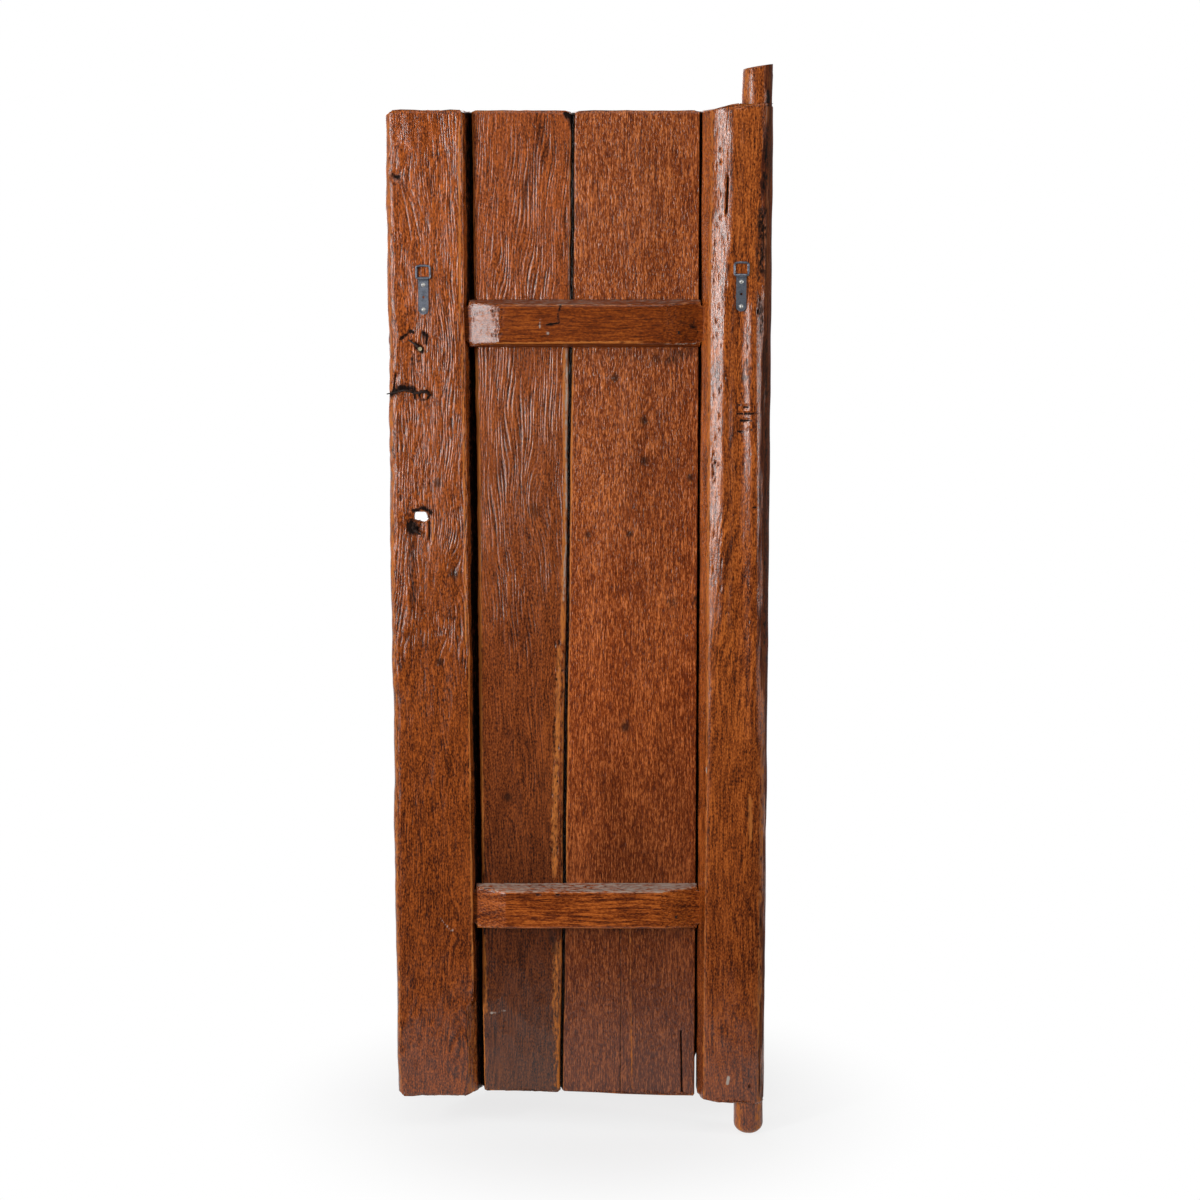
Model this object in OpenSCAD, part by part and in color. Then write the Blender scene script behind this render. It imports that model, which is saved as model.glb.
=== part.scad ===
// Pivot-hung plank door leaf: two hewn stiles, two planks, two tenoned battens and old ironwork.
// Millimetres. Z is the pivot axis, X runs towards the hinge side, -Y is the back (batten) side.
// The origin is on the pivot axis, at the shoulder of the bottom pivot.

/* [Leaf] */
// Height of the boards
leaf_h = 1818; // [1700:1:2100]
// Width from the outer edge of the lock stile to the pivot axis
leaf_w = 660; // [600:1:760]
// Height of the boards' lower ends above the pivot shoulder
board_rise = 8; // [0:1:20]
// Thickness of the planks
plank_t = 30; // [22:1:40]
// Distance from the pivot axis to the planks' back face
plank_back = 12; // [6:1:18]

/* [Lock stile] */
// Width of the lock stile at its top end
lock_top_w = 142; // [120:1:160]
// Width of the lock stile at its bottom end
lock_bottom_w = 152; // [120:1:170]
// Height of the lock stile's back face above the planks
lock_proud = 26; // [18:1:34]
// Radius of the worn outer arris of the lock stile
lock_round = 13; // [6:1:18]
// Depth of the worn wave along the outer edge of the lock stile
lock_wave = 1.6; // [0:0.1:3]
// Set-back of the lock stile's inner back arris
lock_lean = 5; // [2:0.5:8]
// Set-back of that arris along the hollowed toe
toe_lean = 17; // [8:1:22]
// Height of the hollowed toe
toe_h = 170; // [120:1:260]

/* [Planks] */
// Open joint between the lock stile and the narrow plank, on the back
lock_gap = 10; // [6:0.5:14]
// Open joint between the two planks, on the back
plank_gap = 3.6; // [2:0.1:6]
// Open joint between the wide plank and the hinge stile, on the back
hinge_gap = 3.8; // [2:0.1:6]
// Lean of the planks' meeting edges, so that no light shows between them
plank_lap = 4; // [2:0.5:8]
// Height up to which the hinge joint stays open at its foot
foot_gap_h = 320; // [100:5:330]
// Width of the wide plank at its top end
wide_top_w = 222; // [190:1:250]
// Width of the wide plank at its bottom end
wide_bottom_w = 247; // [190:1:270]
// Depth of the wave along the waney edges of the planks
waney_wave = 1.2; // [0:0.1:2.5]
// Radius of the planks' worn back arrises
plank_round = 5; // [2:0.5:9]
// Fall of the planks' lower ends, from the lock side to the hinge side
plank_fall = 12; // [0:1:16]
// Size of the chip at the narrow plank's top corner
chip = 14; // [6:1:24]

/* [Hinge stile] */
// Distance from the pivot axis to the stile's inner edge
hinge_inner = 97; // [80:1:115]
// Radius of the stile's rounded outer edge, about the pivot axis
hinge_outer = 29.5; // [29.5:0.1:33]
// Height of the stile's back face above the pivot axis
hinge_crest = 34; // [30:1:42]
// Width of the worn facet along the stile's inner ridge, at its top
facet_w = 28; // [14:1:34]
// Tilt of that facet, in degrees
facet_tilt = 21; // [12:0.5:26]
// Fall of the stile's end cuts towards its inner edge
end_fall = 8; // [0:0.5:14]

/* [Pivots] */
// Diameter of the top pivot
top_pivot_d = 55; // [46:0.5:58]
// Length of the top pivot's round wall
top_pivot_l = 56; // [40:1:80]
// Height of the worn slanting tip of the top pivot, at its middle
top_tip_l = 11; // [6:1:18]
// Slant of the top pivot's end cut, in degrees
top_slant = 10; // [0:1:14]
// Diameter of the bottom pivot
bottom_pivot_d = 56; // [46:0.5:58]
// Length of the bottom pivot's round wall
bottom_pivot_l = 46; // [30:1:60]
// Height of the bottom pivot's rounded end
bottom_dome = 19; // [10:1:26]

/* [Battens] */
// Depth of the upper batten's middle below the boards' tops
upper_batten_drop = 377; // [340:1:400]
// Height of the lower batten's middle above the pivot shoulder
lower_batten_z = 370; // [250:1:500]
// Height of a batten where it lies on the planks
batten_h = 86; // [70:1:100]
// Height of a batten above the planks, along its middle
batten_proud = 36; // [28:1:44]
// Height of a batten above the planks, at its ends
batten_end_proud = 14; // [10:1:20]
// Length of the slope at the batten's lock end
lock_slope_l = 56; // [40:1:80]
// Length of the slope at the batten's hinge end
hinge_slope_l = 70; // [40:1:90]
// Lean of the batten's long sides, in degrees
batten_lean = 13; // [0:1:18]
// Height of a tenon
tenon_h = 58; // [40:1:66]
// Length of a tenon inside the stile
tenon_l = 46; // [30:1:55]

/* [Latch hole] */
// Height of the worn latch hole above the pivot shoulder
latch_z = 1102; // [1000:1:1200]
// Distance from the outer edge of the lock stile to the latch hole
latch_x = 60; // [45:1:80]
// Diameter of the larger lobe of the latch hole
latch_d = 18; // [14:0.5:24]
// Distance between the two lobes of the latch hole
latch_spread = 9; // [5:0.5:12]

/* [Split pins] */
// Diameter of a forged split pin
pin_d = 7; // [5:0.5:9]
// Diameter of a split pin's domed head
pin_head_d = 18; // [12:0.5:24]
// Height of a split pin's domed head
pin_head_h = 5; // [3:0.5:8]
// Depth of the upper split pin below the boards' tops
upper_pin_drop = 421; // [400:1:440]
// Depth of the middle split pin below the boards' tops
middle_pin_drop = 499; // [470:1:520]
// Depth of the lower split pin below the latch hole
lower_pin_fall = 24; // [20:1:40]
// Distance from the outer edge of the lock stile to the upper split pin
upper_pin_x = 59; // [40:1:80]
// Distance from the outer edge of the lock stile to the middle split pin
middle_pin_x = 47; // [35:1:60]
// Distance from the outer edge of the lock stile to the lower split pin
lower_pin_x = 45; // [35:1:60]

/* [Nails] */
// Side of a nail's square shank
nail_side = 5; // [3:0.5:6]
// Diameter of a nail's head
nail_head_d = 17; // [12:0.5:22]
// Height of a nail's head
nail_head_h = 3.4; // [2:0.2:5]
// Distance from a plank's edge to its nails
nail_inset = 38; // [25:1:50]
// Depth of a nail's point inside the batten
nail_bite = 27; // [15:1:27]

/* [Hangers] */
// Width of a hanger strap
strap_w = 18; // [15:0.5:20]
// Length of a hanger strap below its ring's axis
strap_l = 64; // [58:1:80]
// Thickness of the strap's sheet, folded double
sheet_t = 1; // [0.6:0.1:1.4]
// Distance between a strap's screw holes
hole_pitch = 21.8; // [18:0.2:24]
// Diameter of a strap's screw holes
hole_d = 4.6; // [4.4:0.1:6]
// Diameter of the ring's wire
wire_d = 4; // [3:0.2:5]
// Outside width of the ring
ring_w = 28.5; // [27.5:0.5:34]
// Outside height of the ring
ring_h = 27; // [23:0.5:34]
// Rise of the ring's bowed top
ring_bow = 1.4; // [0.6:0.1:3]
// Depth of the lock-side ring's axis below the boards' tops
lock_hanger_drop = 296; // [240:1:305]
// Depth of the hinge-side ring's axis below the boards' tops
hinge_hanger_drop = 290; // [240:1:305]
// Distance from the outer edge of the lock stile to its hanger
lock_hanger_x = 65.5; // [50:0.5:90]
// Distance from the pivot axis to the hinge stile's hanger
hinge_hanger_x = 27.5; // [22:0.5:45]
// Diameter of a screw's head
screw_head_d = 8; // [6.5:0.2:10]
// Height of a screw's head
screw_head_h = 2.8; // [2:0.1:4]
// Diameter of a screw's shank
screw_d = 3.8; // [3:0.1:4.2]
// Length of a screw's shank
screw_l = 20; // [14:1:22]

/* [Fits] */
// Clearance between a tenon, nail, pin or screw and its hole
fit_gap = 0.1; // [0.05:0.05:0.3]
// Joint between the boards along the front face
board_fit = 0.6; // [0.3:0.1:1.2]
// Clearance between the ring's wire and the strap's loop
loop_gap = 0.06; // [0.02:0.02:0.1]

/* [Hidden] */
$fn = 64;

board_bottom = board_rise;
board_top = board_rise + leaf_h;
front = plank_back + plank_t;
lock_back = plank_back - lock_proud;
hinge_top = board_top + board_rise;
upper_batten_z = board_top - upper_batten_drop;
batten_zs = [lower_batten_z, upper_batten_z];
lock_hanger_z = board_top - lock_hanger_drop;
hinge_hanger_z = board_top - hinge_hanger_drop;
stations = 18;
arc_steps = 4;
end_wear = 4;
overrun = 1;
nail_spread = 30;
// Lengths of the long and short waves along a hewn edge
wave_l = 610;
ripple_l = 233;
// The long wave's share of a wave's whole depth
wave_share = 0.6;
// Angles at which the waves of the lock stile and of the two planks start
lock_phase = 40;
narrow_phase = 150;
wide_phase = 260;
// Radii of the timbers' other arrises
front_round = 2;
inner_round = 4;
outer_round = 5;
joint_round = 1;
crest_round = 10;
facet_round = 9;
ridge_round = 7;
hinge_edge_round = 7;
hinge_front_round = 8;
// Height above the pivot axis at which the hinge stile's inner slope ends, towards the front
slope_end_y = 4;

// Share of the leaf's height, 0 at the boards' lower ends and 1 at their tops
function share(z) = (z - board_bottom) / leaf_h;
function mix(a, b, t) = a + (b - a) * t;
// Smooth wave along a hewn edge
function wave(z, depth, phase) =
    depth * mix(sin(360 * z / ripple_l + 2 * phase), sin(360 * z / wave_l + phase), wave_share);

// Edges of the boards on the back, as functions of height
function outer_x(z) = -leaf_w + wave(z, lock_wave, lock_phase);
function lock_inner_x(z) = -leaf_w + mix(lock_bottom_w, lock_top_w, share(z));
function narrow_left_x(z) = lock_inner_x(z) + lock_gap + wave(z, waney_wave, narrow_phase);
function wide_right_x() = -hinge_inner - hinge_gap;
function wide_w(z) = mix(wide_bottom_w, wide_top_w, share(z));
function wide_left_x(z) = wide_right_x() - wide_w(z) + wave(z, waney_wave, wide_phase);
function narrow_right_x(z) = wide_left_x(z) - plank_gap;
// Edges of the boards on the front, where they close up
function lock_front_x(z) = narrow_left_x(z) - board_fit;
function narrow_front_right_x(z) = narrow_right_x(z) - plank_lap;
function wide_front_left_x(z) = narrow_front_right_x(z) + board_fit;
function hinge_front_x(z) = -hinge_inner
    - lookup(z, [[board_bottom + foot_gap_h / 4, 0], [board_bottom + foot_gap_h, hinge_gap - board_fit]]);

// One corner [x, y, radius] between its neighbours, rounded by a quadratic curve
most_rounded = 0.45;
function toward(p, q, r) = p + (q - p) * min(r / norm(q - p), most_rounded);
function xy(c) = [c[0], c[1]];
function rounded_corner(before, corner, after) =
    let (p = xy(corner), a = toward(p, xy(before), corner[2]), b = toward(p, xy(after), corner[2]))
    [for (i = [0:arc_steps]) let (t = i / arc_steps) (1 - t) * (1 - t) * a + 2 * t * (1 - t) * p + t * t * b];
function rounded_section(corners) =
    let (n = len(corners))
    [for (i = [0:n - 1]) each rounded_corner(corners[(i + n - 1) % n], corners[i], corners[(i + 1) % n])];

// Heights of a timber's sections: its two worn ends, any of its own above the lower one, then even steps
function timber_heights(z0, z1, own = []) =
    let (low = len(own) > 0 ? own[len(own) - 1] : z0)
    concat([z0, z0 + end_wear], own,
        [for (i = [1:stations - 1]) mix(low, z1, i / stations)], [z1 - end_wear, z1]);
// How far the section is worn in at height z
function worn(z, z0, z1) = z == z0 || z == z1 ? end_wear / 2 : 0;

// Solid through a list of rings that all have the same number of points
module skin(rings) {
    n = len(rings[0]);
    last = len(rings) - 1;
    sides = [for (j = [0:last - 1], i = [0:n - 1])
        each [[j * n + i, j * n + (i + 1) % n, (j + 1) * n + (i + 1) % n],
            [j * n + i, (j + 1) * n + (i + 1) % n, (j + 1) * n + i]]];
    ends = [[for (i = [n - 1:-1:0]) i], [for (i = [0:n - 1]) last * n + i]];
    polyhedron(points = [for (ring = rings) each ring],
        faces = concat(ends, [for (f = sides) [f[2], f[1], f[0]]]));
}

// Round bar along a list of points, tapering from its first to its last radius
bar_up = [0, 0.13, 1];
function unit(v) = v / norm(v);
function bar_frame(d) = let (side = cross(d, bar_up)) [unit(side), unit(cross(side, d))];
function bar_ring(p, d, r, sides) = let (f = bar_frame(d))
    [for (i = [0:sides - 1]) p + r * (cos(360 * i / sides) * f[0] + sin(360 * i / sides) * f[1])];
function bar_direction(path, i) = unit(path[min(i + 1, len(path) - 1)] - path[max(i - 1, 0)]);
module bar(path, r0, r1, sides = 10) {
    skin([for (i = [len(path) - 1:-1:0])
        bar_ring(path[i], bar_direction(path, i), mix(r0, r1, i / (len(path) - 1)), sides)]);
}

// Mortise for a batten's tenon, from an inner edge into a stile
module mortise(x0, x1, z) {
    translate([x0, plank_back - batten_end_proud - fit_gap, z - tenon_h / 2 - fit_gap])
        cube([x1 - x0, batten_end_proud + 2 * fit_gap, tenon_h + 2 * fit_gap]);
}

// Hole through the leaf's thickness
module through_hole(x, z, d) {
    translate([x, front + overrun, z]) rotate([90, 0, 0])
        cylinder(d = d, h = front - lock_back + 2 * overrun);
}

// Heights of a hanger's screws, below the axis of its ring
function screw_zs(axis_z) = [axis_z - strap_l + strap_w / 2 + 2 * hole_pitch, axis_z - strap_l + strap_w / 2];

// Pilot holes of a hanger's screws
module pilot_holes(x, face, axis_z) {
    for (z = screw_zs(axis_z))
        translate([x, face - overrun, z]) rotate([-90, 0, 0])
            cylinder(d = screw_d + 2 * fit_gap, h = screw_l + fit_gap + overrun);
}

lock_hanger_cx = -leaf_w + lock_hanger_x;
hinge_hanger_cx = -hinge_hanger_x;
latch_cx = -leaf_w + latch_x;

toe_run = 20;
toe_heights = [board_bottom + toe_h, board_bottom + toe_h + toe_run];
function inner_lean(z) = lookup(z, [[toe_heights[0], toe_lean], [toe_heights[1], lock_lean]]);
function lock_section(z) =
    let (w = worn(z, board_bottom, board_top))
    [for (p = rounded_section([
        [outer_x(z) + w, front - w, outer_round], [outer_x(z) + w, lock_back + w, lock_round],
        [lock_inner_x(z) - inner_lean(z) - w, lock_back + w, inner_round],
        [lock_inner_x(z) - w, plank_back, joint_round], [lock_front_x(z) - w, front - w, front_round]]))
        [p[0], p[1], z]];

// Worn latch hole: a larger lobe, and a smaller one that sits a little higher
latch_step = 2;
latch_small_d = latch_d * 0.8;
module latch_hole() {
    through_hole(latch_cx - latch_spread / 2, latch_z + latch_step, latch_small_d);
    through_hole(latch_cx + latch_spread / 2, latch_z, latch_d);
}

module lock_stile() color([0.5, 0.22, 0.07]) {
    difference() {
        skin([for (z = timber_heights(board_bottom, board_top, toe_heights)) lock_section(z)]);
        for (z = batten_zs) mortise(lock_inner_x(z) - tenon_l, lock_inner_x(z) + lock_gap, z);
        latch_hole();
        for (p = split_pins) through_hole(p[0], p[1], pin_d + 2 * fit_gap);
        pilot_holes(lock_hanger_cx, lock_back, lock_hanger_z);
    }
}

// Inner ridge of the hinge stile, and the facet beside it, which narrows below the latch height
ridge_insets = [[0, 10], [0.3, 12], [1, 13]];
facet_shares = [[0.3, 0.25], [0.5, 0.4], [0.62, 0.65], [1, 1]];
function ridge_x(z) = -hinge_inner + lookup(share(z), ridge_insets);
function facet_x(z) = ridge_x(z) + facet_w * lookup(share(z), facet_shares);
function ridge_y(z) = -hinge_crest + (facet_x(z) - ridge_x(z)) * tan(facet_tilt);
// The outer side is round about the pivot axis, and runs on into the flat crest
edge_start = 45;
edge_end = -75;
edge_steps = 8;
function outer_edge() = [for (i = [0:edge_steps])
    let (a = mix(edge_start, edge_end, i / edge_steps)) hinge_outer * [cos(a), sin(a)]];
crest_x = hinge_outer * cos(edge_end) - (hinge_crest + hinge_outer * sin(edge_end)) * tan(-edge_end);
function hinge_section(z) =
    let (w = worn(z, 0, hinge_top), edge = outer_edge(), corners = [edge[edge_steps],
        [crest_x, -hinge_crest + w, crest_round], [facet_x(z) + w, -hinge_crest + w, facet_round],
        [ridge_x(z) + w, ridge_y(z) + w, ridge_round],
        [-hinge_inner + w, slope_end_y, hinge_edge_round], [-hinge_inner + w, plank_back, joint_round],
        [hinge_front_x(z) + w, front - w, front_round], [edge[0][0], front - w, hinge_front_round], edge[0]])
    [for (p = concat(edge, [for (i = [1:len(corners) - 2])
        each rounded_corner(corners[i - 1], corners[i], corners[i + 1])])) [p[0], p[1], z]];

// Wedge that the slanting end cut takes off below z = 0, clear of the pivots
module end_wedge() {
    shoulder = -hinge_outer - overrun;
    far = -hinge_inner - hinge_gap;
    translate([0, front + overrun, 0]) rotate([90, 0, 0]) linear_extrude(front + hinge_crest + 2 * overrun)
        polygon([[shoulder, 0], [shoulder, -overrun], [far, -overrun], [far, end_fall]]);
}

// Round wall with a slightly thinner tip, cut at a slant
tip_step = 0.6;
module top_pivot() {
    block = 2 * top_pivot_d;
    translate([0, 0, hinge_top - overrun]) cylinder(d = top_pivot_d, h = top_pivot_l + overrun);
    intersection() {
        translate([0, 0, hinge_top])
            cylinder(d = top_pivot_d - 2 * tip_step, h = top_pivot_l + 2 * top_tip_l);
        translate([0, 0, hinge_top + top_pivot_l + top_tip_l]) rotate([0, -top_slant, 0])
            translate([-block / 2, -block / 2, -top_pivot_l]) cube([block, block, top_pivot_l]);
    }
}

// Round wall with a domed end
module bottom_pivot() {
    r = bottom_pivot_d / 2;
    translate([0, 0, -bottom_pivot_l]) cylinder(r = r, h = bottom_pivot_l + overrun);
    translate([0, 0, -bottom_pivot_l]) mirror([0, 0, 1]) rotate_extrude() {
        square([r - bottom_dome, bottom_dome]);
        translate([r - bottom_dome, 0]) intersection() {
            circle(r = bottom_dome);
            square(bottom_dome);
        }
    }
}

module hinge_stile() color([0.52, 0.23, 0.07]) {
    difference() {
        union() {
            skin([for (z = timber_heights(0, hinge_top)) hinge_section(z)]);
            top_pivot();
            bottom_pivot();
        }
        end_wedge();
        translate([0, 0, hinge_top]) mirror([0, 0, 1]) end_wedge();
        for (z = batten_zs) mortise(-hinge_inner - overrun, -hinge_inner + tenon_l, z);
        pilot_holes(hinge_hanger_cx, -hinge_crest, hinge_hanger_z);
    }
}

// Lower ends of the planks, which fall towards the hinge side from a little above the boards' lower ends
fall_start = 0.2;
function plank_end_z(z, x) =
    let (left = narrow_left_x(z), right = wide_right_x())
    z > board_bottom + end_wear ? z : z + plank_fall * (mix(left, right, fall_start) - x) / (right - left);
function narrow_section(z) =
    let (w = worn(z, board_bottom, board_top))
    [for (p = rounded_section([
        [narrow_left_x(z) + w, front - w, front_round], [narrow_left_x(z) + w, plank_back + w, plank_round],
        [narrow_right_x(z) - w, plank_back + w, plank_round],
        [narrow_front_right_x(z) - w, front - w, front_round]]))
        [p[0], p[1], plank_end_z(z, p[0])]];
function wide_section(z) =
    let (w = worn(z, board_bottom, board_top))
    [for (p = rounded_section([
        [wide_front_left_x(z) + w, front - w, front_round],
        [wide_left_x(z) + w, plank_back + w, plank_round / 2],
        [wide_right_x() - w, plank_back + w, plank_round / 2],
        [wide_right_x() - w, front - w, front_round]]))
        [p[0], p[1], plank_end_z(z, p[0])]];

// Places of the nails: two in each plank on each batten
nail_places = [for (z = batten_zs, side = [-1, 1])
    each [[mix(narrow_left_x(z) + nail_inset, narrow_right_x(z) - nail_inset, (side + 1) / 2),
            z + side * nail_spread / 2],
        [mix(wide_left_x(z) + nail_inset, wide_right_x() - nail_inset, (side + 1) / 2),
            z - side * nail_spread / 2]]];

// Square shank of every nail, or its hole when grown
module nail_shanks(grow) {
    side = nail_side + 2 * grow;
    for (p = nail_places)
        translate([p[0] - side / 2, plank_back - nail_bite - grow, p[1] - side / 2])
            cube([side, front - plank_back + nail_bite + grow + overrun * sign(grow), side]);
}

// Turns of the chip's broken face about X, Y and Z
chip_turn = [25, 35, 20];
module narrow_plank() color([0.38, 0.18, 0.08]) {
    difference() {
        skin([for (z = timber_heights(board_bottom, board_top)) narrow_section(z)]);
        translate([narrow_right_x(board_top), plank_back, board_top]) rotate(chip_turn)
            cube([2 * chip, 2 * chip, chip], center = true);
        nail_shanks(fit_gap);
    }
}

module wide_plank() color([0.42, 0.19, 0.07]) {
    difference() {
        skin([for (z = timber_heights(board_bottom, board_top)) wide_section(z)]);
        nail_shanks(fit_gap);
    }
}

// Section of a batten at x, where it stands proud of the planks by p
batten_round = 5;
function batten_section(x, z, p) =
    let (h = batten_h / 2, lean = tan(batten_lean))
    [for (c = rounded_section([[z - h, plank_back, joint_round], [z + h, plank_back, joint_round],
        [z + h - lean * p, plank_back - p, batten_round], [z - h + lean * p, plank_back - p, batten_round]]))
        [x, c[1], c[0]]];

module batten(z) color([0.5, 0.22, 0.06]) {
    x0 = lock_inner_x(z) + board_fit;
    x1 = -hinge_inner - board_fit;
    tenon_x0 = lock_inner_x(z) - tenon_l + fit_gap;
    tenon_x1 = -hinge_inner + tenon_l - fit_gap;
    stops = [[x0, batten_end_proud], [x0 + lock_slope_l, batten_proud],
        [x1 - hinge_slope_l, batten_proud], [x1, batten_end_proud]];
    difference() {
        union() {
            skin([for (s = stops) batten_section(s[0], z, s[1])]);
            translate([tenon_x0, plank_back - batten_end_proud, z - tenon_h / 2])
                cube([tenon_x1 - tenon_x0, batten_end_proud, tenon_h]);
        }
        nail_shanks(fit_gap);
    }
}

module upper_batten() batten(upper_batten_z);
module lower_batten() batten(lower_batten_z);

// Forged nails driven from the front, with faceted heads
nail_top_d = nail_head_d * 0.35;
module plank_nails() color([0.16, 0.14, 0.13]) {
    nail_shanks(0);
    for (p = nail_places)
        translate([p[0], front, p[1]]) rotate([-90, 0, 0])
            cylinder(d1 = nail_head_d, d2 = nail_top_d, h = nail_head_h, $fn = 8);
}

// Places of the split pins, from the top down
split_pins = [[upper_pin_x - leaf_w, board_top - upper_pin_drop],
    [middle_pin_x - leaf_w, board_top - middle_pin_drop], [lower_pin_x - leaf_w, latch_z - lower_pin_fall]];
leg_r = pin_d * 0.42;
leg_off = 0.4;
leg_y = lock_back - leg_r - leg_off;

// Shallow dome that stands on the XY plane
module dome(d, h) {
    r = (d * d / 4 + h * h) / (2 * h);
    rotate_extrude() intersection() {
        translate([0, h - r]) circle(r = r);
        square([d / 2, h]);
    }
}

// Shank through the stile with its domed head on the front
module split_pin_shank(p) {
    translate([p[0], front + pin_head_h / 2, p[1]]) rotate([90, 0, 0])
        cylinder(d = pin_d, h = front + pin_head_h / 2 - leg_y);
    translate([p[0], front, p[1]]) rotate([-90, 0, 0]) dome(pin_head_d, pin_head_h);
}

// Leg bent over on the back: offsets [x, depth, z] from the shank's end
module split_pin_leg(p, offsets, tip) {
    bar([for (o = offsets) [p[0] + o[0], leg_y - o[1], p[1] + o[2]]], leg_r, tip);
}

module upper_split_pin() color([0.15, 0.13, 0.12]) {
    split_pin_shank(split_pins[0]);
    split_pin_leg(split_pins[0], [[0, -2, 0], [-5, 1.5, 4], [-12, 1, 10], [-21, 0, 16]], 1.2);
}

module middle_split_pin() color([0.15, 0.13, 0.12]) {
    split_pin_shank(split_pins[1]);
    split_pin_leg(split_pins[1],
        [[1, -2, 0], [-6, 3, 2], [-18, 3, 4], [-30, 1, 1], [-middle_pin_x - 2, 0, -3]], 1);
    split_pin_leg(split_pins[1], [[-1, -2, 0], [7, 3, -1], [15, 4, 1], [23, 3, 0], [27, 1, -5]], 2);
}

module lower_split_pin() color([0.15, 0.13, 0.12]) {
    split_pin_shank(split_pins[2]);
    split_pin_leg(split_pins[2], [[0, -2, 0], [-3, 3, 5], [-2, 4, 11], [3, 2, 15]], 1.6);
    split_pin_leg(split_pins[2], [[0, -2, 0], [5, 3, -3], [11, 2, -8]], 1.4);
}

// Axis of a ring's lower bar, off the wood face
loop_r = wire_d / 2 + loop_gap;
axis_off = loop_r + sheet_t;

// Strap folded double round the ring's lower bar, with a row of screw holes
module hanger_strap(x, face, axis_z) color([0.42, 0.45, 0.5]) {
    end_z = axis_z - strap_l + strap_w / 2;
    translate([x, face, 0]) difference() {
        union() {
            translate([-strap_w / 2, -axis_off, axis_z]) rotate([0, 90, 0])
                cylinder(r = axis_off, h = strap_w);
            translate([-strap_w / 2, -2 * sheet_t, end_z]) cube([strap_w, 2 * sheet_t, axis_z - end_z]);
            translate([0, 0, end_z]) rotate([90, 0, 0]) cylinder(d = strap_w, h = 2 * sheet_t);
        }
        translate([-strap_w / 2 - overrun, -axis_off, axis_z]) rotate([0, 90, 0])
            cylinder(r = loop_r, h = strap_w + 2 * overrun);
        for (i = [0:2])
            translate([0, overrun, end_z + i * hole_pitch]) rotate([90, 0, 0])
                cylinder(d = hole_d, h = 2 * sheet_t + 2 * overrun);
    }
}

// Wire bent along a closed path in the XZ plane
function loop_direction(path, i) =
    let (n = len(path)) unit(path[(i + 1) % n] - path[(i + n - 1) % n]);
module wire_loop(path, r, sides = 16) {
    n = len(path);
    depth = [0, 1, 0];
    points = [for (i = [0:n - 1]) let (out = cross(loop_direction(path, i), depth))
        for (k = [0:sides - 1]) path[i] + r * (cos(360 * k / sides) * out + sin(360 * k / sides) * depth)];
    faces = [for (j = [0:n - 1], k = [0:sides - 1])
        let (a = j * sides + k, b = j * sides + (k + 1) % sides,
            c = (j + 1) % n * sides + (k + 1) % sides, d = (j + 1) % n * sides + k)
        each [[a, b, c], [a, c, d]]];
    polyhedron(points = points, faces = faces);
}

// Wire ring with a bowed top, standing up from its lower bar
module hanger_ring(x, face, axis_z) color([0.5, 0.53, 0.57]) {
    half = (ring_w - wire_d) / 2;
    side_h = ring_h - wire_d - ring_bow;
    outline = rounded_section([[-half, 0, wire_d], [half, 0, wire_d], [half, side_h, wire_d],
        [0, side_h + ring_bow, half], [-half, side_h, wire_d]]);
    translate([x, face - axis_off, axis_z]) wire_loop([for (p = outline) [p[0], 0, p[1]]], wire_d / 2);
}

// Two pan-head screws with crossed slots
slot_w = screw_head_d * 0.14;
slot_l = screw_head_d * 0.6;
slot_floor = screw_head_h * 0.45;
slot_turns = [20, 110];
module hanger_screws(x, face, axis_z) color([0.7, 0.7, 0.7]) {
    seat = face - 2 * sheet_t;
    for (z = screw_zs(axis_z)) translate([x, seat, z]) rotate([90, 0, 0]) difference() {
        union() {
            translate([0, 0, -screw_l - 2 * sheet_t])
                cylinder(d = screw_d, h = screw_l + 2 * sheet_t + overrun);
            dome(screw_head_d, screw_head_h);
        }
        for (turn = slot_turns) rotate([0, 0, turn])
            translate([-slot_l / 2, -slot_w / 2, slot_floor]) cube([slot_l, slot_w, screw_head_h]);
    }
}

module lock_hanger_strap() hanger_strap(lock_hanger_cx, lock_back, lock_hanger_z);
module lock_hanger_ring() hanger_ring(lock_hanger_cx, lock_back, lock_hanger_z);
module lock_hanger_screws() hanger_screws(lock_hanger_cx, lock_back, lock_hanger_z);
module hinge_hanger_strap() hanger_strap(hinge_hanger_cx, -hinge_crest, hinge_hanger_z);
module hinge_hanger_ring() hanger_ring(hinge_hanger_cx, -hinge_crest, hinge_hanger_z);
module hinge_hanger_screws() hanger_screws(hinge_hanger_cx, -hinge_crest, hinge_hanger_z);

lock_stile();
hinge_stile();
narrow_plank();
wide_plank();
upper_batten();
lower_batten();
plank_nails();
upper_split_pin();
middle_split_pin();
lower_split_pin();
lock_hanger_strap();
lock_hanger_ring();
lock_hanger_screws();
hinge_hanger_strap();
hinge_hanger_ring();
hinge_hanger_screws();
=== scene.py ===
"""Looks of a pivot-hung plank door leaf: hewn timbers, stained and varnished, with old ironwork."""
import logging
import math
import random
from dataclasses import dataclass
from enum import Enum

import bmesh
import bpy
import numpy as np
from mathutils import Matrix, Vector, noise
from mathutils.bvhtree import BVHTree


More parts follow.
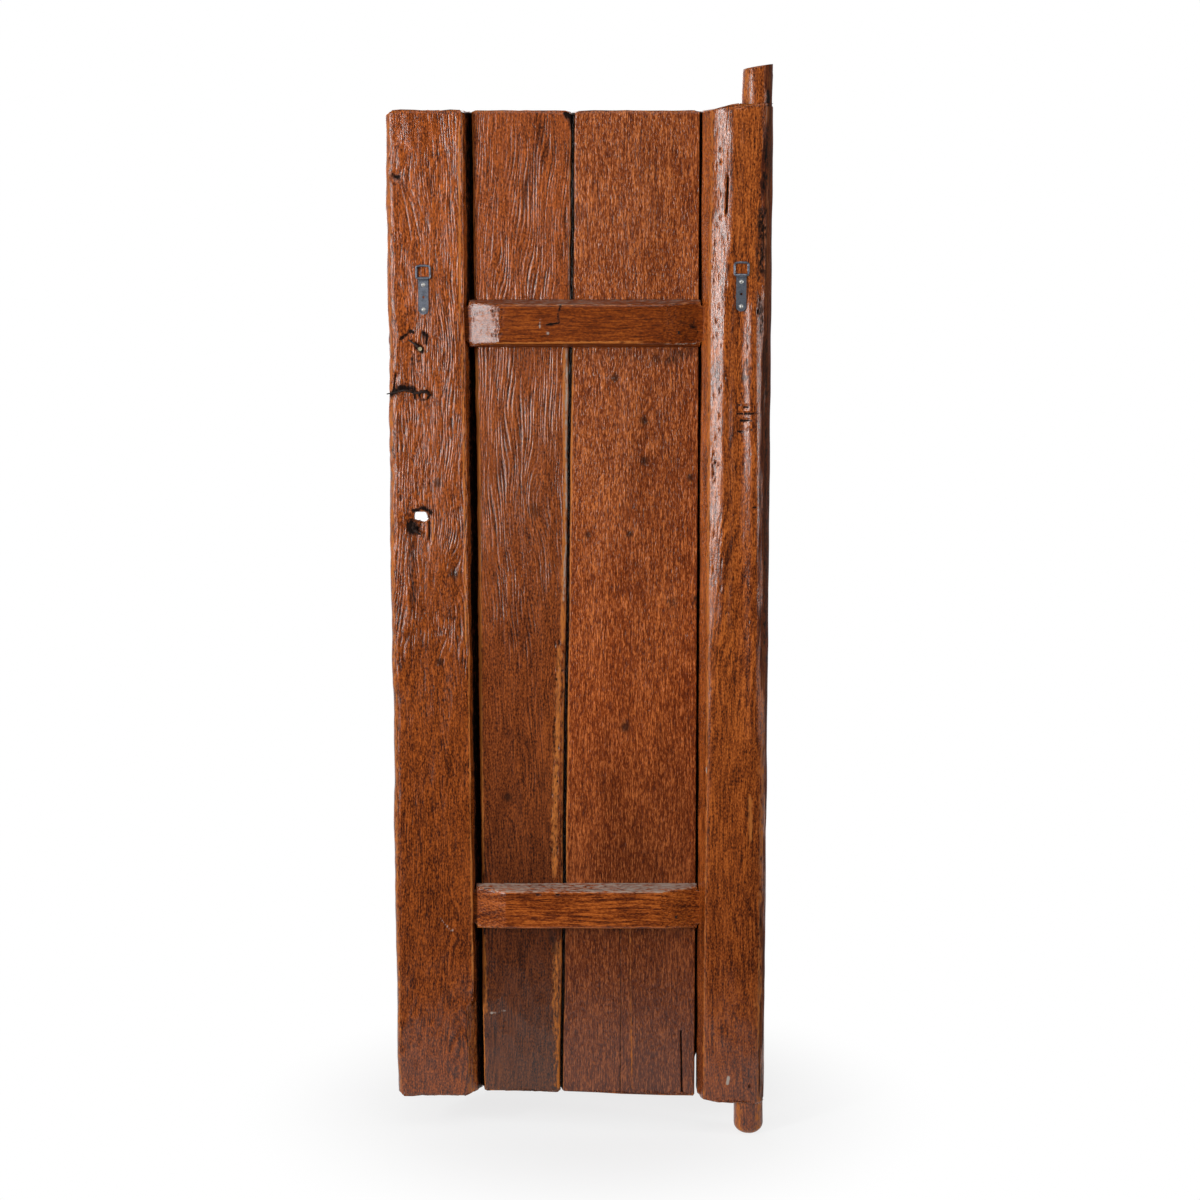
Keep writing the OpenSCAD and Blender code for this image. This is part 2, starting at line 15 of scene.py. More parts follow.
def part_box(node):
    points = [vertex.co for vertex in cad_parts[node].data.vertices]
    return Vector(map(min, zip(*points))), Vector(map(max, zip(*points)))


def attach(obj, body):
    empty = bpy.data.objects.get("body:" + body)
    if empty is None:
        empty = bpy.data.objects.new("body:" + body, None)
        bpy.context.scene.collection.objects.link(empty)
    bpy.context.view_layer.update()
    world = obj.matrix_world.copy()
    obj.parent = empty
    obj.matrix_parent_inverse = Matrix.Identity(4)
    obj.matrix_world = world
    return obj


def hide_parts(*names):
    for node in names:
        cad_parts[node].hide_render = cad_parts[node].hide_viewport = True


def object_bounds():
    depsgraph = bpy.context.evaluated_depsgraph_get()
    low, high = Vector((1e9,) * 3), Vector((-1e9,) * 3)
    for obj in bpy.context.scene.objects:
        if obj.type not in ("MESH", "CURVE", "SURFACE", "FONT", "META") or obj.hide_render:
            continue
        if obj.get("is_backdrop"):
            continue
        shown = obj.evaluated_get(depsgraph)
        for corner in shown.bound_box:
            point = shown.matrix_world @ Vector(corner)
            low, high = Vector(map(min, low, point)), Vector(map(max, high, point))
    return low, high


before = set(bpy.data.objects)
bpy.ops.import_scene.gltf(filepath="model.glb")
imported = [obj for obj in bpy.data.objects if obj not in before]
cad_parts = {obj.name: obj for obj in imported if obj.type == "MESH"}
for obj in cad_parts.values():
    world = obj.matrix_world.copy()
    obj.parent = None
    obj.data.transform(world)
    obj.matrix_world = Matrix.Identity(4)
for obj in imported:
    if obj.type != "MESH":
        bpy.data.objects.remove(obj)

log = logging.getLogger("door")

Pixel = tuple[float, float]
Colour = tuple[float, float, float]
Place = tuple[float, float, float]
Size = tuple[float, float]
Span = tuple[float, float]
Socket = bpy.types.NodeSocket
LEAF = "leaf"
MM = 0.001
FULL_TURN = 2 * math.pi
EDGE_SAMPLES = 120
LEAST_STEPS = 4
MERGE_MM = 0.03
SLIVER_MM = 0.02
BOWL_SLANT = 0.35
BOWL_LEVEL = 0.6
NEVER_FLAT = 400.0
PIT_WIDTH = (0.7, 1.6)
PIT_HEIGHT = (1.4, 5.0)


class Run(Enum):
    """Which way a timber's grain runs."""

    UPRIGHT = "upright"
    LEVEL = "level"


class Mark(Enum):
    """What a blemish does to the wood."""

    DENT = "dent"
    SCAR = "scar"
    # soot and dirt, and painted shade in joints, holes and notches
    GRIME_AND_SHADE = "grime_and_shade"
    # wear, and painted highlights on arrises that face the light
    WORN_AND_LIT = "worn"
    # dust, and a painted sheen on one arris
    DUST_AND_SHEEN = "dust_and_sheen"


@dataclass(frozen=True)
class PhotoCamera:
    """The photograph's camera, fitted to the door's frame in metres."""

    position: Place = (-0.2788, -4.514, 1.6219)
    pitch_down: float = math.radians(8.5)
    focal_px: float = 2500.0
    image_px: float = 1200.0
    sensor_mm: float = 36.0
    sees_to: float = 50.0

    def on_plane(self, pixel: Pixel, y: float) -> tuple[float, float]:
        """Finds the point of an upright plane that a pixel of the photograph shows.

        Args:
            pixel: Column and row in the photograph.
            y: Depth of the plane in the door's frame.

        Returns:
            The x and z of that point.
        """
        right = (pixel[0] - self.image_px / 2) / self.focal_px
        up = (self.image_px / 2 - pixel[1]) / self.focal_px
        sin, cos = math.sin(self.pitch_down), math.cos(self.pitch_down)
        ray = Vector((right, cos + up * sin, up * cos - sin))
        reach = (y - self.position[1]) / ray.y
        return self.position[0] + reach * ray.x, self.position[2] + reach * ray.z

    def make(self) -> None:
        """Creates the camera and makes it the scene's own."""
        data = bpy.data.cameras.new("photo_camera")
        data.sensor_width = self.sensor_mm
        data.lens = self.focal_px / self.image_px * self.sensor_mm
        data.clip_end = self.sees_to
        camera = bpy.data.objects.new("photo_camera", data)
        camera.location = self.position
        camera.rotation_euler = (math.pi / 2 - self.pitch_down, 0.0, 0.0)
        bpy.context.scene.collection.objects.link(camera)
        bpy.context.scene.camera = camera


PHOTO = PhotoCamera()


@dataclass(frozen=True)
class Blemish:
    """One dent, scar, stain, worn place, painted shade or highlight, along a path of the photograph's
    pixels.

    The reach is about half the width across and up the door, in millimetres. The amount is a depth in
    millimetres for a dent or scar, below zero where wood is raised. For the other marks it is a strength,
    with 1 for a full one.
    """

    mark: Mark
    path: tuple[Pixel, ...]
    reach: Size
    amount: float

    def falloff(self, x: np.ndarray, z: np.ndarray, y: float) -> np.ndarray:
        """Works out how strongly the blemish acts at each point.

        Args:
            x: The points' x.
            z: The points' z.
            y: Depth of the face that carries the blemish.

        Returns:
            A share from 0 to 1 for each point.
        """
        scale = 1 / (np.array(self.reach) * MM)
        places = [np.array(PHOTO.on_plane(pixel, y)) * scale for pixel in self.path]
        spans = list(zip(places, places[1:])) or [(places[0], places[0])]
        points = np.stack([x, z], axis=1) * scale
        nearest = np.full(len(x), np.inf)
        for start, end in spans:
            run = end - start
            share = np.clip((points - start) @ run / max(float(run @ run), 1e-9), 0, 1)
            gap = points - start - share[:, None] * run
            nearest = np.minimum(nearest, np.einsum("ij,ij->i", gap, gap))
        return np.exp(-nearest)


@dataclass(frozen=True)
class Knot:
    """A knot at a pixel of the photograph, with its radius in millimetres.

    The stretch makes it longer than wide. The bends say how far it bends the grain, across and along, in
    radii, and the rings by how many lines.
    """

    pixel: Pixel
    radius: float
    rings: float = 3.0
    dark: float = 0.8
    stretch: float = 1.15
    bends: Size = (2.4, 4.5)


@dataclass(frozen=True)
class Relief:
    """How the surface of a timber is worked and weathered, in millimetres.

    Each size is across and along the grain. How far the grain stands out is a share for some heights
    of the door, in metres. Shares, parts and strengths are plain numbers.
    """

    wave: float = 0.8
    wave_size: Size = (45.0, 150.0)
    scoop: float = 0.0
    scoop_size: Size = (30.0, 60.0)
    grain: float = 0.3
    pitch: float = 7.0
    streak: float = 42.0
    wander: float = 7.0
    nap: float = 0.0
    nap_size: Size = (4.0, 9.0)
    stands_out: tuple[tuple[float, float], ...] = ((0.7, 0.3), (1.05, 1.0), (1.55, 1.0), (1.76, 0.55))
    scaly: float = 0.0
    scale_size: Size = (7.0, 8.0)
    ragged: Span = (2.6, 1.1)
    bend_size: Size = (120.0, 800.0)
    wriggle: float = 0.2
    wriggle_size: Size = (28.0, 110.0)
    patch_size: Size = (34.0, 120.0)
    end_size: Size = (16.0, 400.0)
    end_sink: float = 0.2
    ripple: float = 0.4
    ripple_part: float = 3.0
    sink: float = 0.35
    slant: float = 0.6
    ring_share: float = 0.26
    streak_share: float = 0.7
    broad_share: float = 0.5
    fine_streak: Size = (0.55, 1.0)
    broad_streak: Size = (1.6, 2.2)
    strength: Span = (0.7, 1.1)
    strength_limits: Span = (0.2, 1.3)
    seed: float = 0.0

    def streak_size(self, part: Size) -> Size:
        """Gives the size of a streak for its part of the pitch and of the streaks' length."""
        return self.pitch * part[0], self.streak * part[1]


def noise_field(places: np.ndarray, size: Size, seed: float) -> np.ndarray:
    """Gives smooth noise at many places.

    Args:
        places: Places across, through and along the grain, in metres.
        size: Size of the noise across and along the grain, in millimetres.
        seed: Moves the noise.

    Returns:
        About -1 to 1 for each place.
    """
    scaled = places / (np.array([size[0], size[0], size[1]]) * MM) + seed
    return np.fromiter((noise.noise(place) for place in scaled.tolist()), float, len(places))


def cell_field(places: np.ndarray, size: Size, seed: float) -> np.ndarray:
    """Gives shallow bowls at many places, from 0 at a bowl's middle to about 1 at its rim.

    Args:
        places: Places across, through and along the grain, in metres.
        size: Size of the bowls across and along the grain, in millimetres.
        seed: Moves the bowls.

    Returns:
        The height for each place.
    """
    scaled = places / (np.array([size[0], size[0], size[1]]) * MM) + seed
    scaled[:, 0] += BOWL_SLANT * scaled[:, 2]
    return np.fromiter((noise.voronoi(place)[0][0] for place in scaled.tolist()), float, len(places))


def turned(part: np.ndarray, least: float, pace: float) -> np.ndarray:
    """Gives a share from 0 to 1 that grows with a part of the normals, from the least part on."""
    return np.clip((part - least) * pace, 0, 1)


class Graph:
    """Short calls that build a material's node tree."""

    def __init__(self, name: str) -> None:
        """Starts a material with an empty tree.

        Args:
            name: The material's name.
        """
        self.material = bpy.data.materials.new(name)
        self.material.use_nodes = True
        self.tree = self.material.node_tree
        self.tree.nodes.clear()
        self.output = self.tree.nodes.new("ShaderNodeOutputMaterial")

    def node(self, kind: str, inputs: dict | None = None, **settings: object) -> bpy.types.Node:
        """Adds a node.

        Args:
            kind: The node's type name.
            inputs: Values or sockets for its inputs, by name or index.
            settings: Properties of the node.

        Returns:
            The node.
        """
        node = self.tree.nodes.new(kind)
        for name, value in settings.items():
            setattr(node, name, value)
        for key, value in (inputs or {}).items():
            if isinstance(value, Socket):
                self.tree.links.new(value, node.inputs[key])
            else:
                node.inputs[key].default_value = value
        return node

    def math(self, operation: str, a: Socket | float, b: Socket | float = 0.0) -> Socket:
        """Gives the result of an operation on two numbers."""
        return self.node("ShaderNodeMath", {0: a, 1: b}, operation=operation).outputs[0]

    def add(self, *terms: Socket | float) -> Socket:
        """Gives the sum of several numbers.

        Args:
            terms: The numbers, or sockets that carry them.

        Returns:
            The sum.
        """
        total = terms[0]
        for term in terms[1:]:
            total = self.math("ADD", total, term)
        return total

    def times(self, a: Socket | float, b: Socket | float) -> Socket:
        """Gives the product of two numbers."""
        return self.math("MULTIPLY", a, b)

    def swing(self, value: Socket, amount: float) -> Socket:
        """Gives a number that a noise of 0 to 1 swings about zero."""
        return self.times(self.add(value, -0.5), amount)

    def step(self, value: Socket, low: float, high: float) -> Socket:
        """Gives a smooth step from 0 at low to 1 at high."""
        inputs = {"Value": value, "From Min": low, "From Max": high}
        return self.node("ShaderNodeMapRange", inputs, interpolation_type="SMOOTHSTEP").outputs[0]

    def position(self) -> Socket:
        """Gives the place on the object, in metres."""
        return self.node("ShaderNodeTexCoord").outputs["Object"]

    def noise(self, place: Socket, size: Place, seed: float, detail: float = 3.0) -> Socket:
        """Gives noise from 0 to 1.

        Args:
            place: The place on the object.
            size: Size of the noise along each axis, in millimetres.
            seed: Moves the noise.
            detail: How many finer noises are added.

        Returns:
            The noise.
        """
        scale = tuple(1 / (length * MM) for length in size)
        shift = {"Vector": place, "Scale": scale, "Location": (seed, seed, seed)}
        moved = self.node("ShaderNodeMapping", shift).outputs[0]
        inputs = {"Vector": moved, "Scale": 1.0, "Detail": detail, "Roughness": 0.6}
        return self.node("ShaderNodeTexNoise", inputs).outputs["Fac"]

    def attribute(self, name: str) -> Socket:
        """Gives a number stored on the mesh."""
        return self.node("ShaderNodeAttribute", attribute_name=name).outputs["Fac"]

    def ramp(self, value: Socket, stops: tuple[tuple[float, Colour], ...]) -> Socket:
        """Gives a colour from a ramp of stops.

        Args:
            value: Place on the ramp, from 0 to 1.
            stops: Places on the ramp, with their colours.

        Returns:
            The colour.
        """
        node = self.node("ShaderNodeValToRGB", {"Fac": value})
        elements = node.color_ramp.elements
        while len(elements) < len(stops):
            elements.new(0.5)
        for element, (place, colour) in zip(elements, stops):
            element.position = place
            element.color = (*colour, 1.0)
        return node.outputs["Color"]

    def mix(self, share: Socket | float, a: Socket | Colour, b: Socket | Colour,
            blend: str = "MIX") -> Socket:
        """Gives a mix of two colours.

        Args:
            share: Share of the second colour, from 0 to 1.
            a: The first colour.
            b: The second colour.
            blend: How the second colour is laid over the first.

        Returns:
            The mixed colour.
        """
        node = self.node("ShaderNodeMix", data_type="RGBA", blend_type=blend, clamp_factor=True)
        share_socket, first, second = node.inputs[0], node.inputs[6], node.inputs[7]
        for socket, value in ((share_socket, share), (first, a), (second, b)):
            if isinstance(value, Socket):
                self.tree.links.new(value, socket)
            elif socket == share_socket:
                socket.default_value = value
            else:
                socket.default_value = (*value, 1.0)
        return node.outputs[2]

    def light_paths(self) -> tuple[Socket, Socket]:
        """Tells the camera's own rays from others.

        Returns:
            1 for the camera's rays, and 1 for rays that are mirrored or pass through.
        """
        path = self.node("ShaderNodeLightPath").outputs
        mirrored = self.math("MAXIMUM", path["Is Glossy Ray"], path["Is Transmission Ray"])
        return path["Is Camera Ray"], mirrored

    def away(self, place: Socket, centre: Place, axes: Place = (1.0, 1.0, 1.0)) -> Socket:
        """Gives the distance from a point.

        Args:
            place: The place on the object.
            centre: The point.
            axes: 1 for each axis that counts, and 0 for the others.

        Returns:
            The distance in metres.
        """
        kind = "ShaderNodeVectorMath"
        offset = self.node(kind, {0: place, 1: centre}, operation="SUBTRACT").outputs[0]
        flat = self.node(kind, {0: offset, 1: axes}, operation="MULTIPLY").outputs[0]
        return self.node(kind, {0: flat}, operation="LENGTH").outputs["Value"]

    def finish(self, inputs: dict, height: Socket | None = None,
               depth_mm: float = 1.0) -> bpy.types.Material:
        """Ends the tree in one surface shader.

        Args:
            inputs: Values or sockets of the shader.
            height: Relief of the surface, from 0 to 1, or None.
            depth_mm: What a relief of 1 measures, in millimetres.

        Returns:
            The material.
        """
        shader = self.node("ShaderNodeBsdfPrincipled", inputs)
        if height is not None:
            relief = {"Height": height, "Distance": depth_mm * MM, "Strength": 1.0}
            bump = self.node("ShaderNodeBump", relief)
            self.tree.links.new(bump.outputs[0], shader.inputs["Normal"])
        self.tree.links.new(shader.outputs[0], self.output.inputs[0])
        return self.material


class WorldGraph(Graph):
    """The same short calls for a world's node tree."""

    def __init__(self, name: str) -> None:
        """Starts a world with an empty tree.

        Args:
            name: The world's name.
        """
        self.world = bpy.data.worlds.new(name)
        self.world.use_nodes = True
        self.tree = self.world.node_tree
        self.tree.nodes.clear()
        self.output = self.tree.nodes.new("ShaderNodeOutputWorld")


def srgb(red: float, green: float, blue: float) -> Colour:
    """Turns a colour of 0 to 255 parts into the linear one that shaders take."""
    parts = [part / 255 for part in (red, green, blue)]
    return tuple(part / 12.92 if part <= 0.04045 else ((part + 0.055) / 1.055) ** 2.4 for part in parts)


# bare worn wood, also used for painted highlights on lit arrises
WORN_AND_LIT_WOOD = srgb(196, 116, 54)
KNOT_WOOD = srgb(40, 20, 11)
CRACKED_WOOD = srgb(48, 20, 9)
MAROON = srgb(70, 31, 24)
RUBBED_IRON = srgb(206, 196, 158)
# soot and tar, also used for painted shade in joints, a pin hole and a notch
SOOT_AND_SHADE = srgb(27, 18, 15)
# dust, also used for a painted sheen on one arris
DUST_AND_SHEEN = srgb(176, 164, 152)
RED_PAINT = srgb(112, 40, 30)
RED_PAINT_LIGHT = srgb(138, 60, 44)
BLACK_IRON = srgb(46, 40, 38)
RUST = srgb(70, 42, 28)
ZINC = srgb(140, 146, 158)
DULL_ZINC = srgb(70, 74, 84)
BRIGHT_STEEL = srgb(236, 234, 228)
DULL_STEEL = srgb(170, 166, 160)


@dataclass(frozen=True)
class Tar:
    """A dark stain along a stile's outer edge, with black tar in it.

    Its lengths are in metres, and the sizes of its noises along each axis are in millimetres. It is
    narrower in the lower part of the door.
    """

    from_x: float
    share: float = 0.66
    stain: float = 0.7
    rim: float = 0.006
    wave: float = 0.045
    wave_size: Place = (14.0, 14.0, 130.0)
    streaks: Span = (0.46, 0.58)
    streak_size: Place = (5.0, 5.0, 120.0)
    narrower: float = 0.011
    narrow_levels: Span = (0.5, 0.35)

    def lay(self, g: Graph, place: Socket, x: Socket, level: Socket) -> tuple[Socket, Socket]:
        """Lays the stain and the tar.

        Args:
            g: The material's tree.
            place: The place on the object.
            x: Its x.
            level: Its height, 0 at the foot and 1 at the top.

        Returns:
            A share from 0 to 1 for the stain, and one for the tar, in ragged upright streaks.
        """
        edge = g.add(x, g.swing(g.noise(place, self.wave_size, 2.2), self.wave))
        start = g.add(self.from_x, g.times(g.step(level, *self.narrow_levels), self.narrower))
        streaks = g.step(g.noise(place, self.streak_size, 6.1), *self.streaks)
        stain = g.step(g.math("SUBTRACT", edge, start), 0.0, self.rim)
        return stain, g.times(g.times(stain, streaks), self.share)


@dataclass(frozen=True)
class TimberFinish:
    """Stain, varnish and old paint of one timber.

    The fade multiplies the colour from the foot of the door to its top. Each size of a noise is across
    and along the grain, in millimetres. The breaks are the weights of fibre, chips and patches in a broken
    rim, and what is taken off their sum. The rougher parts are dull wood, dust and painted sheen, and
    paint. The front face and the paint's depths there are in metres.
    """

    name: str
    dark: Colour
    mid: Colour
    light: Colour
    seed: float
    run: Run = Run.UPRIGHT
    streaky: float = 0.65
    speckle: float = 0.85
    blotch: float = 0.25
    figure: float = 0.14
    cracked: float = 0.1
    fibre_size: Size = (1.8, 28.0)
    fleck_size: Size = (2.2, 5.0)
    chip_size: Size = (4.5, 11.0)
    patch_size: Size = (60.0, 220.0)
    fibre_mm: float = 0.5
    nap_mm: float = 0.25
    roughness: float = 0.26
    specular: float = 0.4
    dulled: float = 0.9
    fade: tuple[tuple[float, Colour], ...] = ((0.0, (1, 1, 1)), (1.0, (1, 1, 1)))
    tones: tuple[float, float, float] = (0.25, 0.5, 0.78)
    cracks: Span = (0.3, 0.08)
    uneven: float = 0.2
    breaks: tuple[float, float, float, float] = (0.8, 1.5, 0.6, 1.45)
    mark_rim: Span = (0.2, 0.8)
    mark_least: Span = (0.03, 0.25)
    rougher: tuple[float, float, float] = (0.32, 0.4, 0.25)
    raised: float = 0.7
    raised_levels: Span = (0.36, 0.56)
    tar: Tar | None = None
    front_y: float = 0.042
    paint_wave: float = 0.004
    paint_edge: Span = (0.005, 0.002)
    paint_worn: Span = (0.28, 0.05)

    def sized(self, size: Size) -> Place:
        """Gives a noise size for a grain that runs up the door or across it."""
        across, along = size
        return (across, across, along) if self.run is Run.UPRIGHT else (along, across, across)

    def make(self) -> bpy.types.Material:
        """Makes the timber's material.

        Returns:
            The material, which reads the grain and the marks that are stored on the mesh.
        """
        g = Graph(self.name)
        place = g.position()
        x, y, z = g.node("ShaderNodeSeparateXYZ", {0: place}).outputs
        low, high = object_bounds()
        heights = {"Value": z, "From Min": low[2], "From Max": high[2]}
        level = g.node("ShaderNodeMapRange", heights).outputs[0]
        fibre = g.noise(place, self.sized(self.fibre_size), self.seed, 4.0)
        fleck = g.noise(place, self.sized(self.fleck_size), self.seed + 5.3, 1.0)
        patch = g.noise(place, self.sized(self.patch_size), self.seed + 8.2, 4.0)
        chips = g.noise(place, self.sized(self.chip_size), self.seed + 3.1, 3.0)
        *weights, taken_off = self.breaks
        parts = (g.times(part, weight) for part, weight in zip((fibre, chips, patch), weights))
        broken = g.add(*parts, -taken_off)
        # the grime mask carries soot, tar and painted shade, the worn mask wear and painted highlights, the
        # dust mask dust and a painted sheen
        worn, soot_and_shade, dust_and_sheen = (self.worn_away(g, name, broken) for name in ("worn", "grime_and_shade", "dust_and_sheen"))
        dull = g.math("MAXIMUM", worn, soot_and_shade)
        colour = self.stained(g, level, fibre, fleck, patch)
        colour = g.mix(worn, colour, WORN_AND_LIT_WOOD)
        colour = g.mix(g.attribute("knot"), colour, KNOT_WOOD)
        if self.tar is not None:
            stain, black = self.tar.lay(g, place, x, level)
            colour = g.mix(g.times(stain, self.tar.stain), colour, MAROON)
            soot_and_shade = g.math("MAXIMUM", soot_and_shade, black)
            dull = g.math("MAXIMUM", dull, stain)
        colour = g.mix(soot_and_shade, colour, SOOT_AND_SHADE)
        colour = g.mix(dust_and_sheen, colour, DUST_AND_SHEEN)
        edge = (self.front_y - depth for depth in self.paint_edge)
        face = g.step(g.add(y, g.swing(patch, self.paint_wave)), *edge)
        paint = g.times(face, g.step(broken, *self.paint_worn))
        colour = g.mix(paint, colour, g.mix(fleck, RED_PAINT, RED_PAINT_LIGHT))
        rough = g.add(self.roughness, g.swing(patch, self.uneven),
                      *(g.times(part, weight) for part, weight in zip((dull, dust_and_sheen, paint), self.rougher)))
        shine = g.times(g.math("SUBTRACT", 1.0, g.times(dull, self.dulled)), self.specular)
        lift = g.add(1 - self.raised, g.times(g.step(level, *self.raised_levels), self.raised))
        height = g.add(g.times(g.times(fibre, self.fibre_mm), lift), g.times(fleck, self.nap_mm))
        return g.finish({"Base Color": colour, "Roughness": rough, "Specular IOR Level": shine}, height)

    def stained(self, g: Graph, level: Socket, fibre: Socket, fleck: Socket, patch: Socket) -> Socket:
        """Gives the colour of the stained wood, before wear and dirt.

        Args:
            g: The material's tree.
            level: Height, 0 at the foot and 1 at the top.
            fibre: Noise of the fine grain.
            fleck: Noise of the flecks.
            patch: Noise of the large patches.

        Returns:
            The colour.
        """
        ring = g.attribute("ring")
        tone = g.add(0.5, g.swing(ring, self.figure), g.swing(fibre, self.streaky),
                     g.swing(fleck, self.speckle), g.swing(patch, self.blotch))
        colour = g.ramp(tone, tuple(zip(self.tones, (self.dark, self.mid, self.light))))
        uneven = g.add(level, g.swing(patch, self.uneven))
        colour = g.mix(1.0, colour, g.ramp(uneven, self.fade), "MULTIPLY")
        return g.mix(g.times(g.step(ring, *self.cracks), self.cracked), colour, CRACKED_WOOD)

    def worn_away(self, g: Graph, name: str, broken: Socket) -> Socket:
        """Gives the share of a mark stored on the mesh, with its rim broken up by the grain.

        Args:
            g: The material's tree.
            name: The mark's name on the mesh.
            broken: How the grain breaks the rim, about zero.

        Returns:
            A share from 0 to 1.
        """
        amount = g.attribute(name)
        ragged = g.step(g.add(amount, broken), *self.mark_rim)
        return g.times(ragged, g.step(amount, *self.mark_least))


@dataclass(frozen=True)
class MetalFinish:
    """Plated or forged metal with stains, bare at a pixel of the photograph if one is given."""

    name: str
    colour: Colour
    stain: Colour
    roughness: float
    stain_share: float
    metallic: float = 1.0
    pit_mm: float = 0.05
    rubbed: Pixel | None = None
    rubbed_mm: float = 4.5
    rubbed_core: float = 0.6
    cloud_mm: float = 7.0
    grit_mm: float = 1.2
    grit_share: float = 0.4
    stains: Span = (0.55, 0.85)
    rougher: Span = (0.3, 0.1)

    def make(self) -> bpy.types.Material:
        """Makes the metal's material.

        Returns:
            The material.
        """
        g = Graph(self.name)
        place = g.position()
        cloud = g.noise(place, (self.cloud_mm,) * 3, 1.3, 4.0)
        pits = g.noise(place, (self.grit_mm,) * 3, 4.4, 3.0)
        mottled = g.add(cloud, g.times(pits, self.grit_share))
        stained = g.times(g.step(mottled, *self.stains), self.stain_share)
        colour = g.mix(stained, self.colour, self.stain)
        if self.rubbed is not None:
            x, z = PHOTO.on_plane(self.rubbed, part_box("lock_stile")[0].y)
            away = g.away(place, (x, 0.0, z), (1.0, 0.0, 1.0))
            bare = g.step(away, self.rubbed_mm * MM, self.rubbed_core * self.rubbed_mm * MM)
            colour = g.mix(bare, colour, RUBBED_IRON)
        rough = g.add(self.roughness, g.times(stained, self.rougher[0]), g.times(cloud, self.rougher[1]))
        inputs = {"Base Color": colour, "Roughness": rough, "Metallic": self.metallic}
        return g.finish(inputs, g.add(cloud, pits), self.pit_mm)


def grid_of(points: np.ndarray) -> bmesh.types.BMesh:
    """Makes a closed skin from rings of points.

    Args:
        points: Rows of rings of points, the first and last ring drawn in to a point.

    Returns:
        The skin, with its seam and ends merged.
    """
    rows, count = points.shape[:2]
    bm = bmesh.new()
    bmesh.ops.create_grid(bm, x_segments=count, y_segments=rows - 1, size=1.0)
    flat = np.array([v.co for v in bm.verts])
    flat -= flat.min(axis=0)
    flat /= np.maximum(flat.max(axis=0), 1e-9)
    turns = np.rint(flat[:, 0] * count).astype(int) % count
    rises = np.rint(flat[:, 1] * (rows - 1)).astype(int)
    for vert, place in zip(bm.verts, points[rises, turns]):
        vert.co = place
    bmesh.ops.remove_doubles(bm, verts=bm.verts, dist=MERGE_MM * MM)
    bmesh.ops.dissolve_degenerate(bm, edges=bm.edges, dist=SLIVER_MM * MM)
    bmesh.ops.recalc_face_normals(bm, faces=bm.faces)
    return bm


